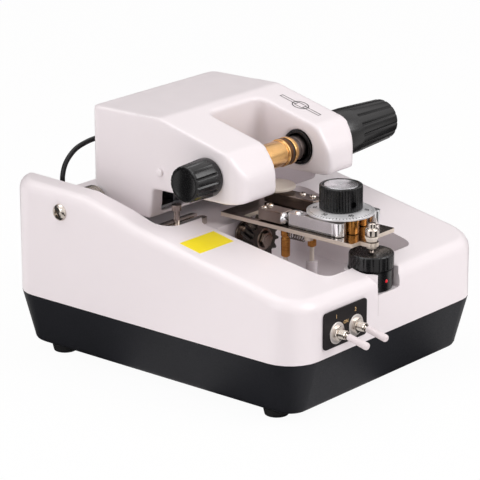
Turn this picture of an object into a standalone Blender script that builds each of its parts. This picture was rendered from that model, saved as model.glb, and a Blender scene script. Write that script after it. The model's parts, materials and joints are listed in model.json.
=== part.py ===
"""Lens thinning machine: a bench machine with a swinging clamp head over a milling cutter.

Run it with blender --background --python part.py, or from Blender's text editor. Metres, +Z up.
X runs to the right seen from the front, Y runs to the back, and the origin is on the floor under
the middle of the base. Every piece is one closed body, named for what it is.
"""

import math

import bmesh
import bpy
from mathutils import Matrix, Vector

# Overall sizes
BASE_WIDTH = 0.200
BASE_LENGTH = 0.250
BASE_CORNER = 0.0225
FOOT_HEIGHT = 0.006
SEAM_HEIGHT = 0.0423
OVERALL_MIDDLE_X = 0.0099
OVERALL_MIDDLE_Y = -0.0124

# Fits shared by all pieces
GAP = 0.0003
OVERRUN = 0.003
ARC_STEPS = 6
ROUND_SIDES = 24
SMALL_SIDES = 12
WELD = 0.00001
UP = (0.0, 0.0, 1.0)
RIGHT = (1.0, 0.0, 0.0)
LEFT = (-1.0, 0.0, 0.0)
BACK = (0.0, 1.0, 0.0)
FRONT = (0.0, -1.0, 0.0)

# Lower tub
TUB_WALL = 0.0028
TUB_DRAFT = 0.008
TUB_FLOOR_ROUNDING = 0.005
FOOT_RADIUS = 0.009
FOOT_X = 0.079
FOOT_Y = 0.093
FOOT_CHAMFER = 0.0012

# Upper cover: height of its top face along the machine, front to back
COVER_WALL = 0.0030
COVER_RIM = 0.0075
NOSE_HEIGHT = 0.0825
FRONT_FLANGE_Y = -0.100
FRONT_FLANGE_HEIGHT = 0.0875
MIDDLE_FLANGE_Y = -0.044
MIDDLE_FLANGE_HEIGHT = 0.0980
REAR_FLANGE_Y = 0.008
REAR_FLANGE_HEIGHT = 0.1080
CHEEK_FOOT_Y = 0.026
CHEEK_FOOT_HEIGHT = 0.1135
CHEEK_KNEE_Y = 0.056
CHEEK_KNEE_HEIGHT = 0.1203
CHEEK_HEIGHT = 0.1220

# Well under the clamp, and the channel that the head swings in
WELL_HALF_WIDTH = 0.056
WELL_FRONT_HALF_WIDTH = 0.049
WELL_FRONT_Y = -0.1095
WELL_REAR_Y = -0.001
WELL_CORNER = 0.0115
WELL_FLOOR = 0.058
WELL_DRAFT = 0.004
WELL_FLOOR_ROUNDING = 0.006
CHANNEL_HALF_WIDTH = 0.082
CHANNEL_FRONT_Y = -0.003
CHANNEL_REAR_Y = 0.112
CHANNEL_CORNER = 0.014
DECK_HEIGHT = 0.0935
DECK_WALL = 0.0025
REAR_SILL_HEIGHT = 0.100
EDGE_ROUNDING = 0.0018

# Turret notch in the front wall
TURRET_X = -0.005
TURRET_Y = -0.111
NOTCH_HALF_WIDTH = 0.0110
NOTCH_FLOOR = 0.0705
NOTCH_ROUNDING = 0.0040

# Switch plate and its two toggle switches
PLATE_LEFT_X = -0.073
PLATE_RIGHT_X = -0.029
PLATE_LOW_Z = 0.0485
PLATE_HIGH_Z = 0.073
PLATE_THICKNESS = 0.0010
PLATE_CORNER = 0.0025
TOGGLE_XS = {"left": -0.0605, "right": -0.0410}
TOGGLE_Z = 0.0577
BUSHING_RADIUS = 0.0030
BUSHING_BORE = 0.0022
BUSHING_REACH = 0.0085
BUSHING_BORE_DEPTH = 0.0060
TOGGLE_BODY_WIDTH = 0.0080
TOGGLE_BODY_HEIGHT = 0.0130
TOGGLE_BODY_DEPTH = 0.0088
NUT_RADIUS = 0.0062
NUT_THICKNESS = 0.0022
WASHER_RADIUS = 0.0066
WASHER_THICKNESS = 0.0008
LEVER_LENGTH = 0.0185
LEVER_NECK_RADIUS = 0.0010
LEVER_BALL_RADIUS = 0.0016
LEVER_TIP_RADIUS = 0.0024
LEVER_DROOP_DEGREES = 12.0
LEVER_TIP_EDGE_SHARE = 0.3
PIVOT_INSIDE_BUSHING = 0.0012

# Inlet, fuse, transformer, control board and cutter motor
INLET_X = 0.045
INLET_Z = 0.066
INLET_WIDTH = 0.0272
INLET_HEIGHT = 0.0198
INLET_DEPTH = 0.0180
INLET_FLANGE_WIDTH = 0.0340
INLET_FLANGE_HEIGHT = 0.0260
INLET_FLANGE_THICKNESS = 0.0025
INLET_SOCKET_WIDTH = 0.0220
INLET_SOCKET_HEIGHT = 0.0150
INLET_SOCKET_DEPTH = 0.0140
INLET_CORNER = 0.0030
INLET_PIN_PLACES = ((-0.0070, -0.0020), (0.0, 0.0020), (0.0070, -0.0020))
PIN_THICKNESS = 0.0020
PIN_HEIGHT = 0.0040
PIN_SETBACK = 0.0040
TRANSFORMER_X = 0.050
TRANSFORMER_Y = 0.050
TRANSFORMER_WIDTH = 0.052
TRANSFORMER_LENGTH = 0.044
TRANSFORMER_HEIGHT = 0.040
TRANSFORMER_COIL_LENGTH = 0.060
TRANSFORMER_FOOT_WIDTH = 0.0620
TRANSFORMER_FOOT_THICKNESS = 0.002
CORE_YOKE_SHARE = 0.18
CORE_LEG_SHARE = 0.36
BOARD_LEFT_X = -0.084
BOARD_RIGHT_X = -0.034
BOARD_FRONT_Y = 0.030
BOARD_REAR_Y = 0.096
BOARD_THICKNESS = 0.0016
BOARD_HEIGHT = 0.0205
BOARD_PILLAR_RADIUS = 0.003
BOARD_PILLAR_INSET = 0.006
BOARD_RELAY_HEIGHT = 0.015
BOARD_RELAY_SIDE = 0.016

# Cutter, its shaft, bearing, belt and motor
CUTTER_X = -0.006
CUTTER_Y = -0.018
CUTTER_Z = 0.0850
CUTTER_RADIUS = 0.0150
CUTTER_ROOT_RADIUS = 0.0118
CUTTER_WIDTH = 0.0090
CUTTER_TEETH = 14
CUTTER_HUB_RADIUS = 0.0055
CUTTER_NUT_THICKNESS = 0.0025
CUTTER_TOOTH_SHARES = (0.0, 0.30, 0.48, 0.62)
CUTTER_TWIST_DEGREES = 14.0
CUTTER_SHAFT_RADIUS = 0.0030
BEARING_RADIUS = 0.0080
BEARING_LENGTH = 0.0050
BEARING_FLANGE_RADIUS = 0.0095
BEARING_FLANGE_THICKNESS = 0.0012
PULLEY_RADIUS = 0.0040
PULLEY_WIDTH = 0.0060
BELT_THICKNESS = 0.0010
BELT_WIDTH = 0.0050
PULLEY_FLANGE_RADIUS = 0.0052
PULLEY_FLANGE_THICKNESS = 0.0004
BELT_Y = 0.0075
MOTOR_Z = 0.0360
MOTOR_RADIUS = 0.0180
MOTOR_LENGTH = 0.0480
MOTOR_FRONT_Y = 0.0180
MOTOR_BOSS_RADIUS = 0.0065
MOTOR_BOSS_LENGTH = 0.0025
MOTOR_SHAFT_RADIUS = 0.0020
BRACKET_THICKNESS = 0.0025
BRACKET_WIDTH = 0.044
BRACKET_FOOT = 0.016

# Hinge of the head
HINGE_Y = 0.075
HINGE_Z = 0.1065
HINGE_ROD_RADIUS = 0.0040
HINGE_ROD_REACH = 0.0960
HINGE_SCREW_RADIUS = 0.0058
HINGE_SCREW_HEIGHT = 0.0032
HINGE_SCREW_SHANK_RADIUS = 0.0022
HINGE_SCREW_SHANK = 0.0140
HINGE_SCREW_TIP_ROOM = 0.0010
CROSS_WIDTH = 0.0012
CROSS_LENGTH = 0.0056
CROSS_DEPTH = 0.0014
BUSH_FLANGE_RADIUS = 0.0085
BUSH_FLANGE_THICKNESS = 0.0012
SPRING_TURNS = 7
SPRING_RADIUS = 0.0082
SPRING_WIRE_RADIUS = 0.0008
SPRING_POINTS_PER_TURN = 8

# Clamp head shell
HEAD_HALF_WIDTH = 0.0620
HEAD_REAR_Y = 0.0815
HEAD_TOP_Z = 0.1720
HEAD_REAR_TOP_DROP = 0.0012
HEAD_KNEE_Y = 0.0210
LOBE_SHOULDER_Y = -0.0375
LOBE_SHOULDER_Z = 0.1575
LOBE_BROW_Y = -0.0480
LOBE_BROW_Z = 0.1420
LOBE_FRONT_Y = -0.0495
LOBE_BOTTOM_Z = 0.1245
CUTOUT_Y = 0.0270
CUTOUT_Z = 0.1228
REAR_BOTTOM_Z = 0.1020
REAR_BOTTOM_LEAN = 0.0020
EAR_BOTTOM_Z = 0.0972
EAR_FRONT_Y = 0.0640
EAR_SLOPE_Y = 0.0560
HEAD_WALL = 0.0028
HEAD_EDGE = 0.0035
LOBE_CHIN_ROUNDING = 0.0060
LOBE_SHOULDER_ROUNDING = 0.0100
HEAD_SMALL_ROUNDING = 0.0015
HEAD_KNEE_ROUNDING = 0.0200
EAR_ROUNDING = 0.0080
WINDOW_SHARE = 0.85
CHASSIS_LOW_Z = 0.1050
CHASSIS_HINGE_ROOM = 0.0020
MOUTH_LEFT_X = -0.0240
MOUTH_RIGHT_X = 0.0300
MOUTH_REAR_Y = 0.0120
MOUTH_CORNER = 0.0070
LOBE_LEFT_CORNER = 0.0150
LOBE_RIGHT_CORNER = 0.0120
LOBE_INNER_CORNER = 0.0050
HEAD_REAR_CORNER = 0.0060
BUTTON_Y = 0.0200
BUTTON_Z = 0.1355
BUTTON_RADIUS = 0.0038
BUTTON_REACH = 0.0010

# Lens clamp
CLAMP_Y = -0.0215
CLAMP_Z = 0.1405
SPINDLE_RADIUS = 0.0050
CHUCK_RADIUS = 0.00875
CHUCK_LIP_RADIUS = 0.0095
CHUCK_LIP_LENGTH = 0.0036
CHUCK_LEFT_END = -0.0330
CHUCK_BORE_DEPTH = 0.0090
CHUCK_GROOVE_SHARE = 0.4
PAD_CENTRE_X = 0.0155
PAD_THICKNESS = 0.0018
PAD_RADIUS = 0.0090
RIGHT_CHUCK_END = 0.0240
CLAMP_SHAFT_RADIUS = 0.00825
CLAMP_TRAVEL = 0.0120
LINER_RADIUS = 0.0113
LINER_WALL = 0.0011
LINER_FLANGE_RADIUS = 0.0122
LINER_FLANGE_THICKNESS = 0.0006
LINER_END_X = 0.0570
LEFT_KNOB_LENGTH = 0.0235
LEFT_KNOB_SKIRT_RADIUS = 0.0130
LEFT_KNOB_FACE_RADIUS = 0.0120
LEFT_KNOB_SKIRT = 0.0040
RIGHT_KNOB_LENGTH = 0.0610
RIGHT_KNOB_SKIRT_RADIUS = 0.0165
RIGHT_KNOB_FACE_RADIUS = 0.0142
RIGHT_KNOB_SKIRT = 0.0190
KNOB_RIBS = 14
RIB_DEPTH = 0.0008
RIB_WIDTH = 0.0012
KNOB_EDGE = 0.0012
KNOB_BORE_DEPTH = 0.0120
KNOB_SHANK_RADIUS = 0.0045

# Gear motor in the head, with its pulley, belt and bracket
GEARMOTOR_RADIUS = 0.0125
GEARMOTOR_LENGTH = 0.0480
GEARMOTOR_Y = 0.0480
GEARMOTOR_Z = 0.1430
GEARMOTOR_FACE_X = -0.0300
DRIVE_BELT_X = -0.0420
DRIVE_PULLEY_RADIUS = 0.0070
DRIVE_PULLEY_WIDTH = 0.0070
DRIVE_FLANGE_RADIUS = 0.0084
SPINDLE_PULLEY_RADIUS = 0.0105
SPINDLE_FLANGE_RADIUS = 0.0119
DRIVE_BELT_WIDTH = 0.0056
DRIVE_BELT_THICKNESS = 0.0010
GEARMOTOR_SHAFT_RADIUS = 0.0020
HEAD_CHASSIS_THICKNESS = 0.0020

# Guide table and what stands on it
TABLE_LEFT_X = -0.0180
TABLE_RIGHT_X = 0.0280
TABLE_FRONT_Y = -0.1050
TABLE_REAR_Y = 0.0060
TABLE_TOP_Z = 0.1012
TABLE_THICKNESS = 0.0027
TABLE_CORNER = 0.0010
TONGUE_RADIUS = 0.0046
TONGUE_ROUNDING_SHARE = 0.9
CUTTER_SLOT_CLEARANCE = 0.0020
GUIDE_POST_XS = {"left": -0.0090, "right": 0.0190}
GUIDE_POST_Y = -0.0430
GUIDE_POST_RADIUS = 0.0032
GUIDE_POST_LENGTH = 0.0200
GUIDE_PIN_RADIUS = 0.0015
GUIDE_PIN_LENGTH = 0.0140
GUIDE_SOCKET_RADIUS = 0.0040
GUIDE_SOCKET_WALL = 0.0008
GUIDE_SOCKET_HEIGHT = 0.0100
TABLE_LIFT = 0.0010
DIAL_X = 0.0030
DIAL_Y = -0.0795
DIAL_RADIUS = 0.0225
DIAL_LOW_Z = 0.1132
DIAL_THICKNESS = 0.0026
DIAL_RIM_SHARE = 0.4
KNOB_BORE_SHARE = 0.6
DIAL_KNOB_RADIUS = 0.01435
DIAL_KNOB_HEIGHT = 0.0160
DIAL_KNOB_RIBS = 44
DIAL_RIB_DEPTH = 0.0004
DIAL_CAP_RADIUS = 0.0115
DIAL_CAP_DEPTH = 0.0010
DIAL_POST_RADIUS = 0.0042
DIAL_SPINDLE_RADIUS = 0.0025
SET_SCREW_RADIUS = 0.0013
SET_SCREW_HEIGHT = 0.0040
SET_SCREW_DEPTH = 0.0040
SET_SCREW_DEGREES = -106.0
COLUMN_PLACES = {"left": (0.0010, -0.0905), "right": (0.0188, -0.0850)}
COLUMN_RADII = {"left": 0.0044, "right": 0.0034}
ARM_WIDTH = 0.0080
ARM_HEIGHT = 0.0090
ARM_LIFT = 0.0004
ARM_XS = {"left": -0.0100, "right": 0.0276}
ARM_FRONT_Y = -0.0920
ARM_REAR_Y = -0.0485
ARM_PIVOT_Y = -0.0633
ARM_PIVOT_RADIUS = 0.0022
ARM_SLOT_WIDTH = 0.0012
ARM_SLOT_DEPTH = 0.0012
ARM_END_SHARE = 0.95
ARM_HEEL_SHARE = 0.4
STUB_RADIUS = 0.0030
STUB_LENGTH = 0.0048
RING_RADIUS = 0.0030
RING_INSET = 0.0004
RING_THICKNESS = 0.0030
BLOCK_WIDTH = 0.0120
BLOCK_HEIGHT = 0.0080
BLOCK_REAR_YS = {"left": -0.0250, "right": -0.0020}
BLOCK_XS = {"left": -0.0100, "right": 0.0240}
BLOCK_SCREW_RADIUS = 0.0036
BLOCK_SCREW_HEIGHT = 0.0020
BLOCK_SCREW_INSET = 0.0026
BLOCK_DOME_SHARE = 0.7
BLOCK_CHAMFER = 0.0012
ROLLER_X = 0.0220
ROLLER_Y = -0.0085
ROLLER_RADIUS = 0.0140
ROLLER_LOW_Z = 0.1116
ROLLER_THICKNESS = 0.0024
ROLLER_EDGE = 0.0005
ROLLER_CONE_LOW_RADIUS = 0.0058
ROLLER_CONE_HIGH_RADIUS = 0.0030
ARM_SPRING_TURNS = 6
ARM_SPRING_RADIUS = 0.0026
ARM_SPRING_WIRE_RADIUS = 0.0004

# Turret in the front notch
TURRET_RADIUS = 0.01385
TURRET_POCKET_RADIUS = 0.0154
TURRET_BOSS_WALL = 0.0024
TURRET_BOSS_TOP = 0.0840
TURRET_HEIGHT = 0.0138
TURRET_KNOB_RADIUS = 0.01475
TURRET_KNOB_HEIGHT = 0.0100
TURRET_KNOB_RIBS = 30
TURRET_RIB_DEPTH = 0.0006
TURRET_DOT_RADIUS = 0.0012
TURRET_DOT_REACH = 0.0004
TURRET_DOT_DEGREES = -97.0
TURRET_SPINDLE_RADIUS = 0.0017
TURRET_SPINDLE_TOP = 0.1140
LIFT_NUT_RADIUS = 0.0046
LIFT_NUT_HEIGHT = 0.0050
LIFT_NECK_RADIUS = 0.0027
LIFT_NECK_HEIGHT = 0.0036
CONE_TOP_RADIUS = 0.0044
CONE_LOW_RADIUS = 0.0034
CONE_HEIGHT = 0.0034
LIFT_RING_RADIUS = 0.0032
LIFT_RING_HEIGHT = 0.0016

# Steel rails that lie across the channel under the head
REST_BAR_YS = (0.0140, 0.0225)
REST_BAR_WIDTH = 0.0060
REST_BAR_HEIGHT = 0.0045
REST_END_SHARE = 0.45
REST_STRAP_SHARE = 0.7
REST_LEFT_X = -0.0780
REST_RIGHT_X = -0.0240
REST_STRAP_WIDTH = 0.0080
REST_STUD_X = -0.0480
REST_STUD_RADIUS = 0.0034
REST_STUD_HEIGHT = 0.0170
REST_COLLAR_RADIUS = 0.0022
REST_COLLAR_HEIGHT = 0.0040

# Cord between the head and the deck
CORD_RADIUS = 0.00175
CORD_SIDES_RESOLUTION = 2
CORD_GLAND_X = -0.0360
CORD_GLAND_Z = 0.1420
CORD_GLAND_RADIUS = 0.0042
CORD_GLAND_REACH = 0.0050
CORD_GLAND_WALL = 0.0008
CORD_GLAND_SHANK_RADIUS = 0.0028
DECK_GLAND_REACH = 0.0049
CORD_FOOT_X = -0.0700
CORD_FOOT_Y = 0.0990
CORD_ROUTE = (
    (-0.0360, 0.0868, 0.1420),
    (-0.0364, 0.0908, 0.1420),
    (-0.0398, 0.0945, 0.1416),
    (-0.0478, 0.0985, 0.1394),
    (-0.0580, 0.1003, 0.1357),
    (-0.0668, 0.1005, 0.1286),
    (-0.0711, 0.0998, 0.1200),
    (-0.0712, 0.0992, 0.1120),
    (-0.0702, 0.0990, 0.1040),
    (-0.0700, 0.0990, 0.0990),
)
CORD_STEPS_PER_SPAN = 3


# Scene, materials and objects
def clear_scene():
    for obj in list(bpy.data.objects):
        bpy.data.objects.remove(obj, do_unlink=True)


def new_collection(name):
    made = bpy.data.collections.new(name)
    bpy.context.scene.collection.children.link(made)
    return made


def new_material(name, colour, roughness, metallic=0.0):
    made = bpy.data.materials.new(name)
    made.use_nodes = True
    shader = made.node_tree.nodes["Principled BSDF"]
    shader.inputs["Base Color"].default_value = (*colour, 1.0)
    shader.inputs["Roughness"].default_value = roughness
    shader.inputs["Metallic"].default_value = metallic
    made.diffuse_color = (*colour, 1.0)
    return made


clear_scene()
PARTS = new_collection("lens_thinning_machine")
CUTTERS = new_collection("cutters")
WHITE = new_material("white_abs", (0.80, 0.77, 0.78), 0.35)
CHARCOAL = new_material("charcoal_abs", (0.018, 0.020, 0.024), 0.40)
RUBBER = new_material("black_rubber", (0.012, 0.012, 0.012), 0.80)
BLACK = new_material("black_phenolic", (0.012, 0.012, 0.013), 0.30)
CHROME = new_material("chrome_plate", (0.80, 0.80, 0.80), 0.08, 1.0)
STEEL = new_material("polished_steel", (0.42, 0.38, 0.35), 0.20, 1.0)
BRASS = new_material("turned_brass", (0.72, 0.42, 0.14), 0.25, 1.0)
ALUMINIUM = new_material("brushed_aluminium", (0.75, 0.75, 0.76), 0.30, 1.0)
TOOL_STEEL = new_material("blackened_tool_steel", (0.05, 0.05, 0.05), 0.40, 0.8)
NYLON = new_material("natural_nylon", (0.72, 0.68, 0.60), 0.45)
GRAPHIC = new_material("anodised_switch_plate", (0.020, 0.016, 0.014), 0.40)
COPPER = new_material("enamelled_copper", (0.45, 0.16, 0.05), 0.35, 0.6)
BOARD_GREEN = new_material("green_circuit_board", (0.02, 0.14, 0.05), 0.45)
CORD_BLACK = new_material("black_cord_sheath", (0.010, 0.010, 0.010), 0.45)


def add_mesh(name, bm, finish=None):
    """Link the mesh as a part, or as a hidden cutter where it has no finish."""
    mesh = bpy.data.meshes.new(name)
    bm.to_mesh(mesh)
    bm.free()
    obj = bpy.data.objects.new(name, mesh)
    if finish is None:
        CUTTERS.objects.link(obj)
        obj.hide_render = True
        obj.display_type = "WIRE"
    else:
        PARTS.objects.link(obj)
        mesh.materials.append(finish)
    return obj


def shade(obj, degrees=30.0):
    obj.data.shade_smooth()
    obj.data.set_sharp_from_angle(angle=math.radians(degrees))
    return obj


def evaluated_mesh(obj):
    """The object's mesh with its modifiers, welded, in its own space."""
    bpy.context.view_layer.update()
    graph = bpy.context.evaluated_depsgraph_get()
    mesh = bpy.data.meshes.new_from_object(obj.evaluated_get(graph))
    bm = bmesh.new()
    bm.from_mesh(mesh)
    bpy.data.meshes.remove(mesh)
    bmesh.ops.remove_doubles(bm, verts=bm.verts, dist=1e-6)
    return bm


def applied(obj, finish=None):
    """Replace the object by a plain mesh of what it evaluates to, in world space."""
    bm = evaluated_mesh(obj)
    bm.transform(obj.matrix_world)
    name = obj.name
    bpy.data.objects.remove(obj, do_unlink=True)
    return add_mesh(name, bm, finish)


def boolean(obj, other, operation):
    modifier = obj.modifiers.new(operation.lower(), "BOOLEAN")
    modifier.operation = operation
    modifier.solver = "EXACT"
    modifier.object = other
    return obj


def cut(obj, *cutters):
    for cutter in cutters:
        boolean(obj, cutter, "DIFFERENCE")
    return obj


def join(obj, *others):
    for other in others:
        boolean(obj, other, "UNION")
    return obj


def bevel(obj, width, segments=2, degrees=40.0):
    modifier = obj.modifiers.new("edge rounding", "BEVEL")
    modifier.width = width
    modifier.segments = segments
    modifier.limit_method = "ANGLE"
    modifier.angle_limit = math.radians(degrees)
    return obj


# Shapes
def box(name, low, high, finish=None):
    bm = bmesh.new()
    bmesh.ops.create_cube(bm, size=1.0)
    low = Vector(low)
    high = Vector(high)
    bmesh.ops.scale(bm, vec=high - low, verts=bm.verts)
    bmesh.ops.translate(bm, vec=(low + high) / 2, verts=bm.verts)
    return add_mesh(name, bm, finish)


def along(start, direction):
    """The matrix that puts local +Z on the direction and the local origin at start."""
    turn = Vector((0.0, 0.0, 1.0)).rotation_difference(Vector(direction))
    return Matrix.Translation(start) @ turn.to_matrix().to_4x4()


def rod(name, start, direction, length, radius, finish=None, end_radius=None, sides=ROUND_SIDES):
    """A cylinder or cone from start along the direction."""
    bm = bmesh.new()
    end_radius = radius if end_radius is None else end_radius
    bmesh.ops.create_cone(
        bm, cap_ends=True, segments=sides, radius1=radius, radius2=end_radius, depth=length
    )
    bmesh.ops.translate(bm, vec=(0.0, 0.0, length / 2), verts=bm.verts)
    bm.transform(along(start, direction))
    obj = add_mesh(name, bm, finish)
    return shade(obj)


def turned(name, profile, start, direction, finish=None, sides=ROUND_SIDES, ring=False):
    """A turned piece: (radius, height) points run from its top down its outer side."""
    bm = bmesh.new()
    points = [bm.verts.new((radius, 0.0, height)) for radius, height in profile]
    for first, second in zip(points, points[1:]):
        bm.edges.new((first, second))
    if ring:
        bm.edges.new((points[-1], points[0]))
    obj = add_mesh(name, bm, finish)
    screw = obj.modifiers.new("turning", "SCREW")
    screw.axis = "Z"
    screw.angle = math.tau
    screw.steps = sides
    screw.render_steps = sides
    screw.use_merge_vertices = True
    screw.merge_threshold = 1e-5
    screw.use_smooth_shade = True
    obj.matrix_world = along(start, direction)
    return obj


def plane_matrix(axis, place):
    """Local X, Y and Z of a flat outline that is extruded along the named world axis."""
    columns = {
        "x": ((0.0, 1.0, 0.0), (0.0, 0.0, 1.0), (1.0, 0.0, 0.0)),
        "y": ((1.0, 0.0, 0.0), (0.0, 0.0, 1.0), (0.0, -1.0, 0.0)),
        "z": ((1.0, 0.0, 0.0), (0.0, 1.0, 0.0), (0.0, 0.0, 1.0)),
    }[axis]
    turn = Matrix(columns).transposed().to_4x4()
    return Matrix.Translation(Vector(columns[2]) * place) @ turn


def flat(name, outlines, axis, low, high, finish=None):
    """A flat outline, with its holes, extruded from low to high along a world axis."""
    curve = bpy.data.curves.new(name, "CURVE")
    curve.dimensions = "2D"
    curve.fill_mode = "BOTH"
    curve.extrude = (high - low) / 2
    for outline in outlines:
        spline = curve.splines.new("POLY")
        spline.points.add(len(outline) - 1)
        for point, (u, v) in zip(spline.points, outline):
            point.co = (u, v, 0.0, 1.0)
        spline.use_cyclic_u = True
    obj = bpy.data.objects.new(name, curve)
    PARTS.objects.link(obj)
    middle = (low + high) / 2
    obj.matrix_world = plane_matrix(axis, -middle if axis == "y" else middle)
    return shade(applied(obj, finish))


def tube(name, points, radius, finish, resolution=2):
    """A wire or cord along the points, as one closed mesh."""
    curve = bpy.data.curves.new(name, "CURVE")
    curve.dimensions = "3D"
    curve.bevel_depth = radius
    curve.bevel_resolution = resolution
    curve.use_fill_caps = True
    spline = curve.splines.new("POLY")
    spline.points.add(len(points) - 1)
    for point, place in zip(spline.points, points):
        point.co = (*place, 1.0)
    obj = bpy.data.objects.new(name, curve)
    PARTS.objects.link(obj)
    return shade(applied(obj, finish), 50.0)


def arc(centre, radius, start, end, steps=ARC_STEPS):
    """Points on an arc, in degrees."""
    turns = [math.radians(start + (end - start) * step / steps) for step in range(steps + 1)]
    return [(centre[0] + radius * math.cos(t), centre[1] + radius * math.sin(t)) for t in turns]


def rounded(corners, steps=ARC_STEPS):
    """The outline of a polygon whose (u, v, radius) corners are rounded."""
    outline = []
    for index, (u, v, radius) in enumerate(corners):
        here = Vector((u, v))
        before = Vector(corners[index - 1][:2]) - here
        after = Vector(corners[(index + 1) % len(corners)][:2]) - here
        if radius == 0:
            outline.append((u, v))
            continue
        half = before.angle(after) / 2
        reach = radius / math.tan(half)
        middle = here + (before.normalized() + after.normalized()).normalized() * radius / math.sin(half)
        start = here + before.normalized() * reach - middle
        sweep = start.angle_signed(here + after.normalized() * reach - middle)
        for step in range(steps + 1):
            turn = Matrix.Rotation(-sweep * step / steps, 2)
            outline.append(tuple(middle + turn @ start))
    return outline


def rounded_rectangle(low, high, radius, steps=ARC_STEPS):
    return rounded(
        [
            (low[0], low[1], radius),
            (high[0], low[1], radius),
            (high[0], high[1], radius),
            (low[0], high[1], radius),
        ],
        steps,
    )


def moved_in(corners, distance):
    """The rounded polygon moved inward by a distance. Corners run anticlockwise."""
    moved = []
    count = len(corners)
    for index, (u, v, radius) in enumerate(corners):
        here = Vector((u, v))
        before = (here - Vector(corners[index - 1][:2])).normalized()
        after = (Vector(corners[(index + 1) % count][:2]) - here).normalized()
        side_before = Vector((-before.y, before.x))
        side_after = Vector((-after.y, after.x))
        split = (side_before + side_after).normalized()
        place = here + split * distance / split.dot(side_after)
        convex = before.cross(after) > 0
        new_radius = max(radius + (-distance if convex else distance), 0.0)
        moved.append((place.x, place.y, new_radius if radius else 0.0))
    return moved


def loft(name, rings, finish=None, cap_first=True, cap_last=True):
    """Skin rings of equal counts of points, each a list of 3D places."""
    bm = bmesh.new()
    rows = [[bm.verts.new(place) for place in ring] for ring in rings]
    count = len(rows[0])
    for lower, upper in zip(rows, rows[1:]):
        for index in range(count):
            after = (index + 1) % count
            bm.faces.new((lower[index], lower[after], upper[after], upper[index]))
    if cap_first:
        bm.faces.new(list(reversed(rows[0])))
    if cap_last:
        bm.faces.new(rows[-1])
    return shade(add_mesh(name, bm, finish))


def level(outline, height):
    return [(u, v, height) for u, v in outline]


def ribbed_outline(radius, depth, ribs, steps=4):
    """The outline of a knob: rounded ribs with narrow grooves between them."""
    points = []
    for rib in range(ribs * steps):
        groove = rib % steps == 0
        turn = math.tau * rib / (ribs * steps)
        reach = radius - depth if groove else radius
        points.append((reach * math.cos(turn), reach * math.sin(turn)))
    return points


def fluted(name, levels, ribs, start, direction, finish, steps=4):
    """A ribbed knob: levels of (height, radius, rib depth) from its foot to its top."""
    rings = [level(ribbed_outline(radius, depth, ribs, steps), height) for height, radius, depth in levels]
    obj = loft(name, rings, finish)
    obj.data.transform(along(start, direction))
    return shade(obj, 35.0)


def carrier(name, place):
    """An empty on a joint's axis, for the pieces that move with it."""
    empty = bpy.data.objects.new(name, None)
    PARTS.objects.link(empty)
    empty.location = place
    empty.empty_display_size = FOOT_RADIUS
    return empty


def carry(parent, *children):
    bpy.context.view_layer.update()
    for child in children:
        world = child.matrix_world.copy()
        child.parent = parent
        child.matrix_parent_inverse = parent.matrix_world.inverted()
        child.matrix_world = world


# Casing
def plan_corners(inset=0.0):
    """The base's plan, moved in by an inset."""
    half_width = BASE_WIDTH / 2
    half_length = BASE_LENGTH / 2
    corners = [
        (-half_width, -half_length, BASE_CORNER),
        (half_width, -half_length, BASE_CORNER),
        (half_width, half_length, BASE_CORNER),
        (-half_width, half_length, BASE_CORNER),
    ]
    return moved_in(corners, inset)


def base_tub():
    """The dark lower tub: drafted walls, a rounded foot edge, open at the top."""
    steps = 4
    rings = []
    for step in range(steps + 1):
        turn = math.radians(90 * step / steps)
        inset = TUB_DRAFT + TUB_FLOOR_ROUNDING * (1 - math.sin(turn))
        height = FOOT_HEIGHT + TUB_FLOOR_ROUNDING * (1 - math.cos(turn))
        rings.append(level(rounded(plan_corners(inset)), height))
    flare = TUB_DRAFT * OVERRUN / (SEAM_HEIGHT - FOOT_HEIGHT - TUB_FLOOR_ROUNDING)
    rings.append(level(rounded(plan_corners(-flare)), SEAM_HEIGHT + OVERRUN))
    tub = loft("base_tub", rings, CHARCOAL, cap_last=False)
    wall = tub.modifiers.new("wall", "SOLIDIFY")
    wall.thickness = TUB_WALL
    wall.offset = -1.0
    wall.use_even_offset = True
    reach = BASE_WIDTH
    trim = box(
        "tub_trim", (-reach, -reach, SEAM_HEIGHT), (reach, reach, SEAM_HEIGHT + 2 * OVERRUN)
    )
    cut(tub, trim)


def feet():
    """Four rubber feet, each a turned button with a softened rim."""
    top = FOOT_HEIGHT - GAP
    profile = [
        (0.0, top),
        (FOOT_RADIUS, top),
        (FOOT_RADIUS, FOOT_CHAMFER),
        (FOOT_RADIUS - FOOT_CHAMFER, 0.0),
        (0.0, 0.0),
    ]
    for side, x in (("left", -FOOT_X), ("right", FOOT_X)):
        for end, y in (("front", -FOOT_Y), ("rear", FOOT_Y)):
            turned(f"foot_{end}_{side}", profile, (x, y, 0.0), UP, RUBBER, SMALL_SIDES)


def cover_side_corners():
    """The cover's side outline as (y, z, radius), anticlockwise."""
    half_length = BASE_LENGTH / 2
    bottom = SEAM_HEIGHT + GAP
    return [
        (-half_length, bottom, 0.0),
        (half_length, bottom, 0.0),
        (half_length, CHEEK_HEIGHT, 0.0),
        (CHEEK_KNEE_Y, CHEEK_KNEE_HEIGHT, 0.0),
        (CHEEK_FOOT_Y, CHEEK_FOOT_HEIGHT, 0.0),
        (REAR_FLANGE_Y, REAR_FLANGE_HEIGHT, 0.0),
        (MIDDLE_FLANGE_Y, MIDDLE_FLANGE_HEIGHT, 0.0),
        (FRONT_FLANGE_Y, FRONT_FLANGE_HEIGHT, 0.0),
        (-half_length, NOSE_HEIGHT, 0.0),
    ]


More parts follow.
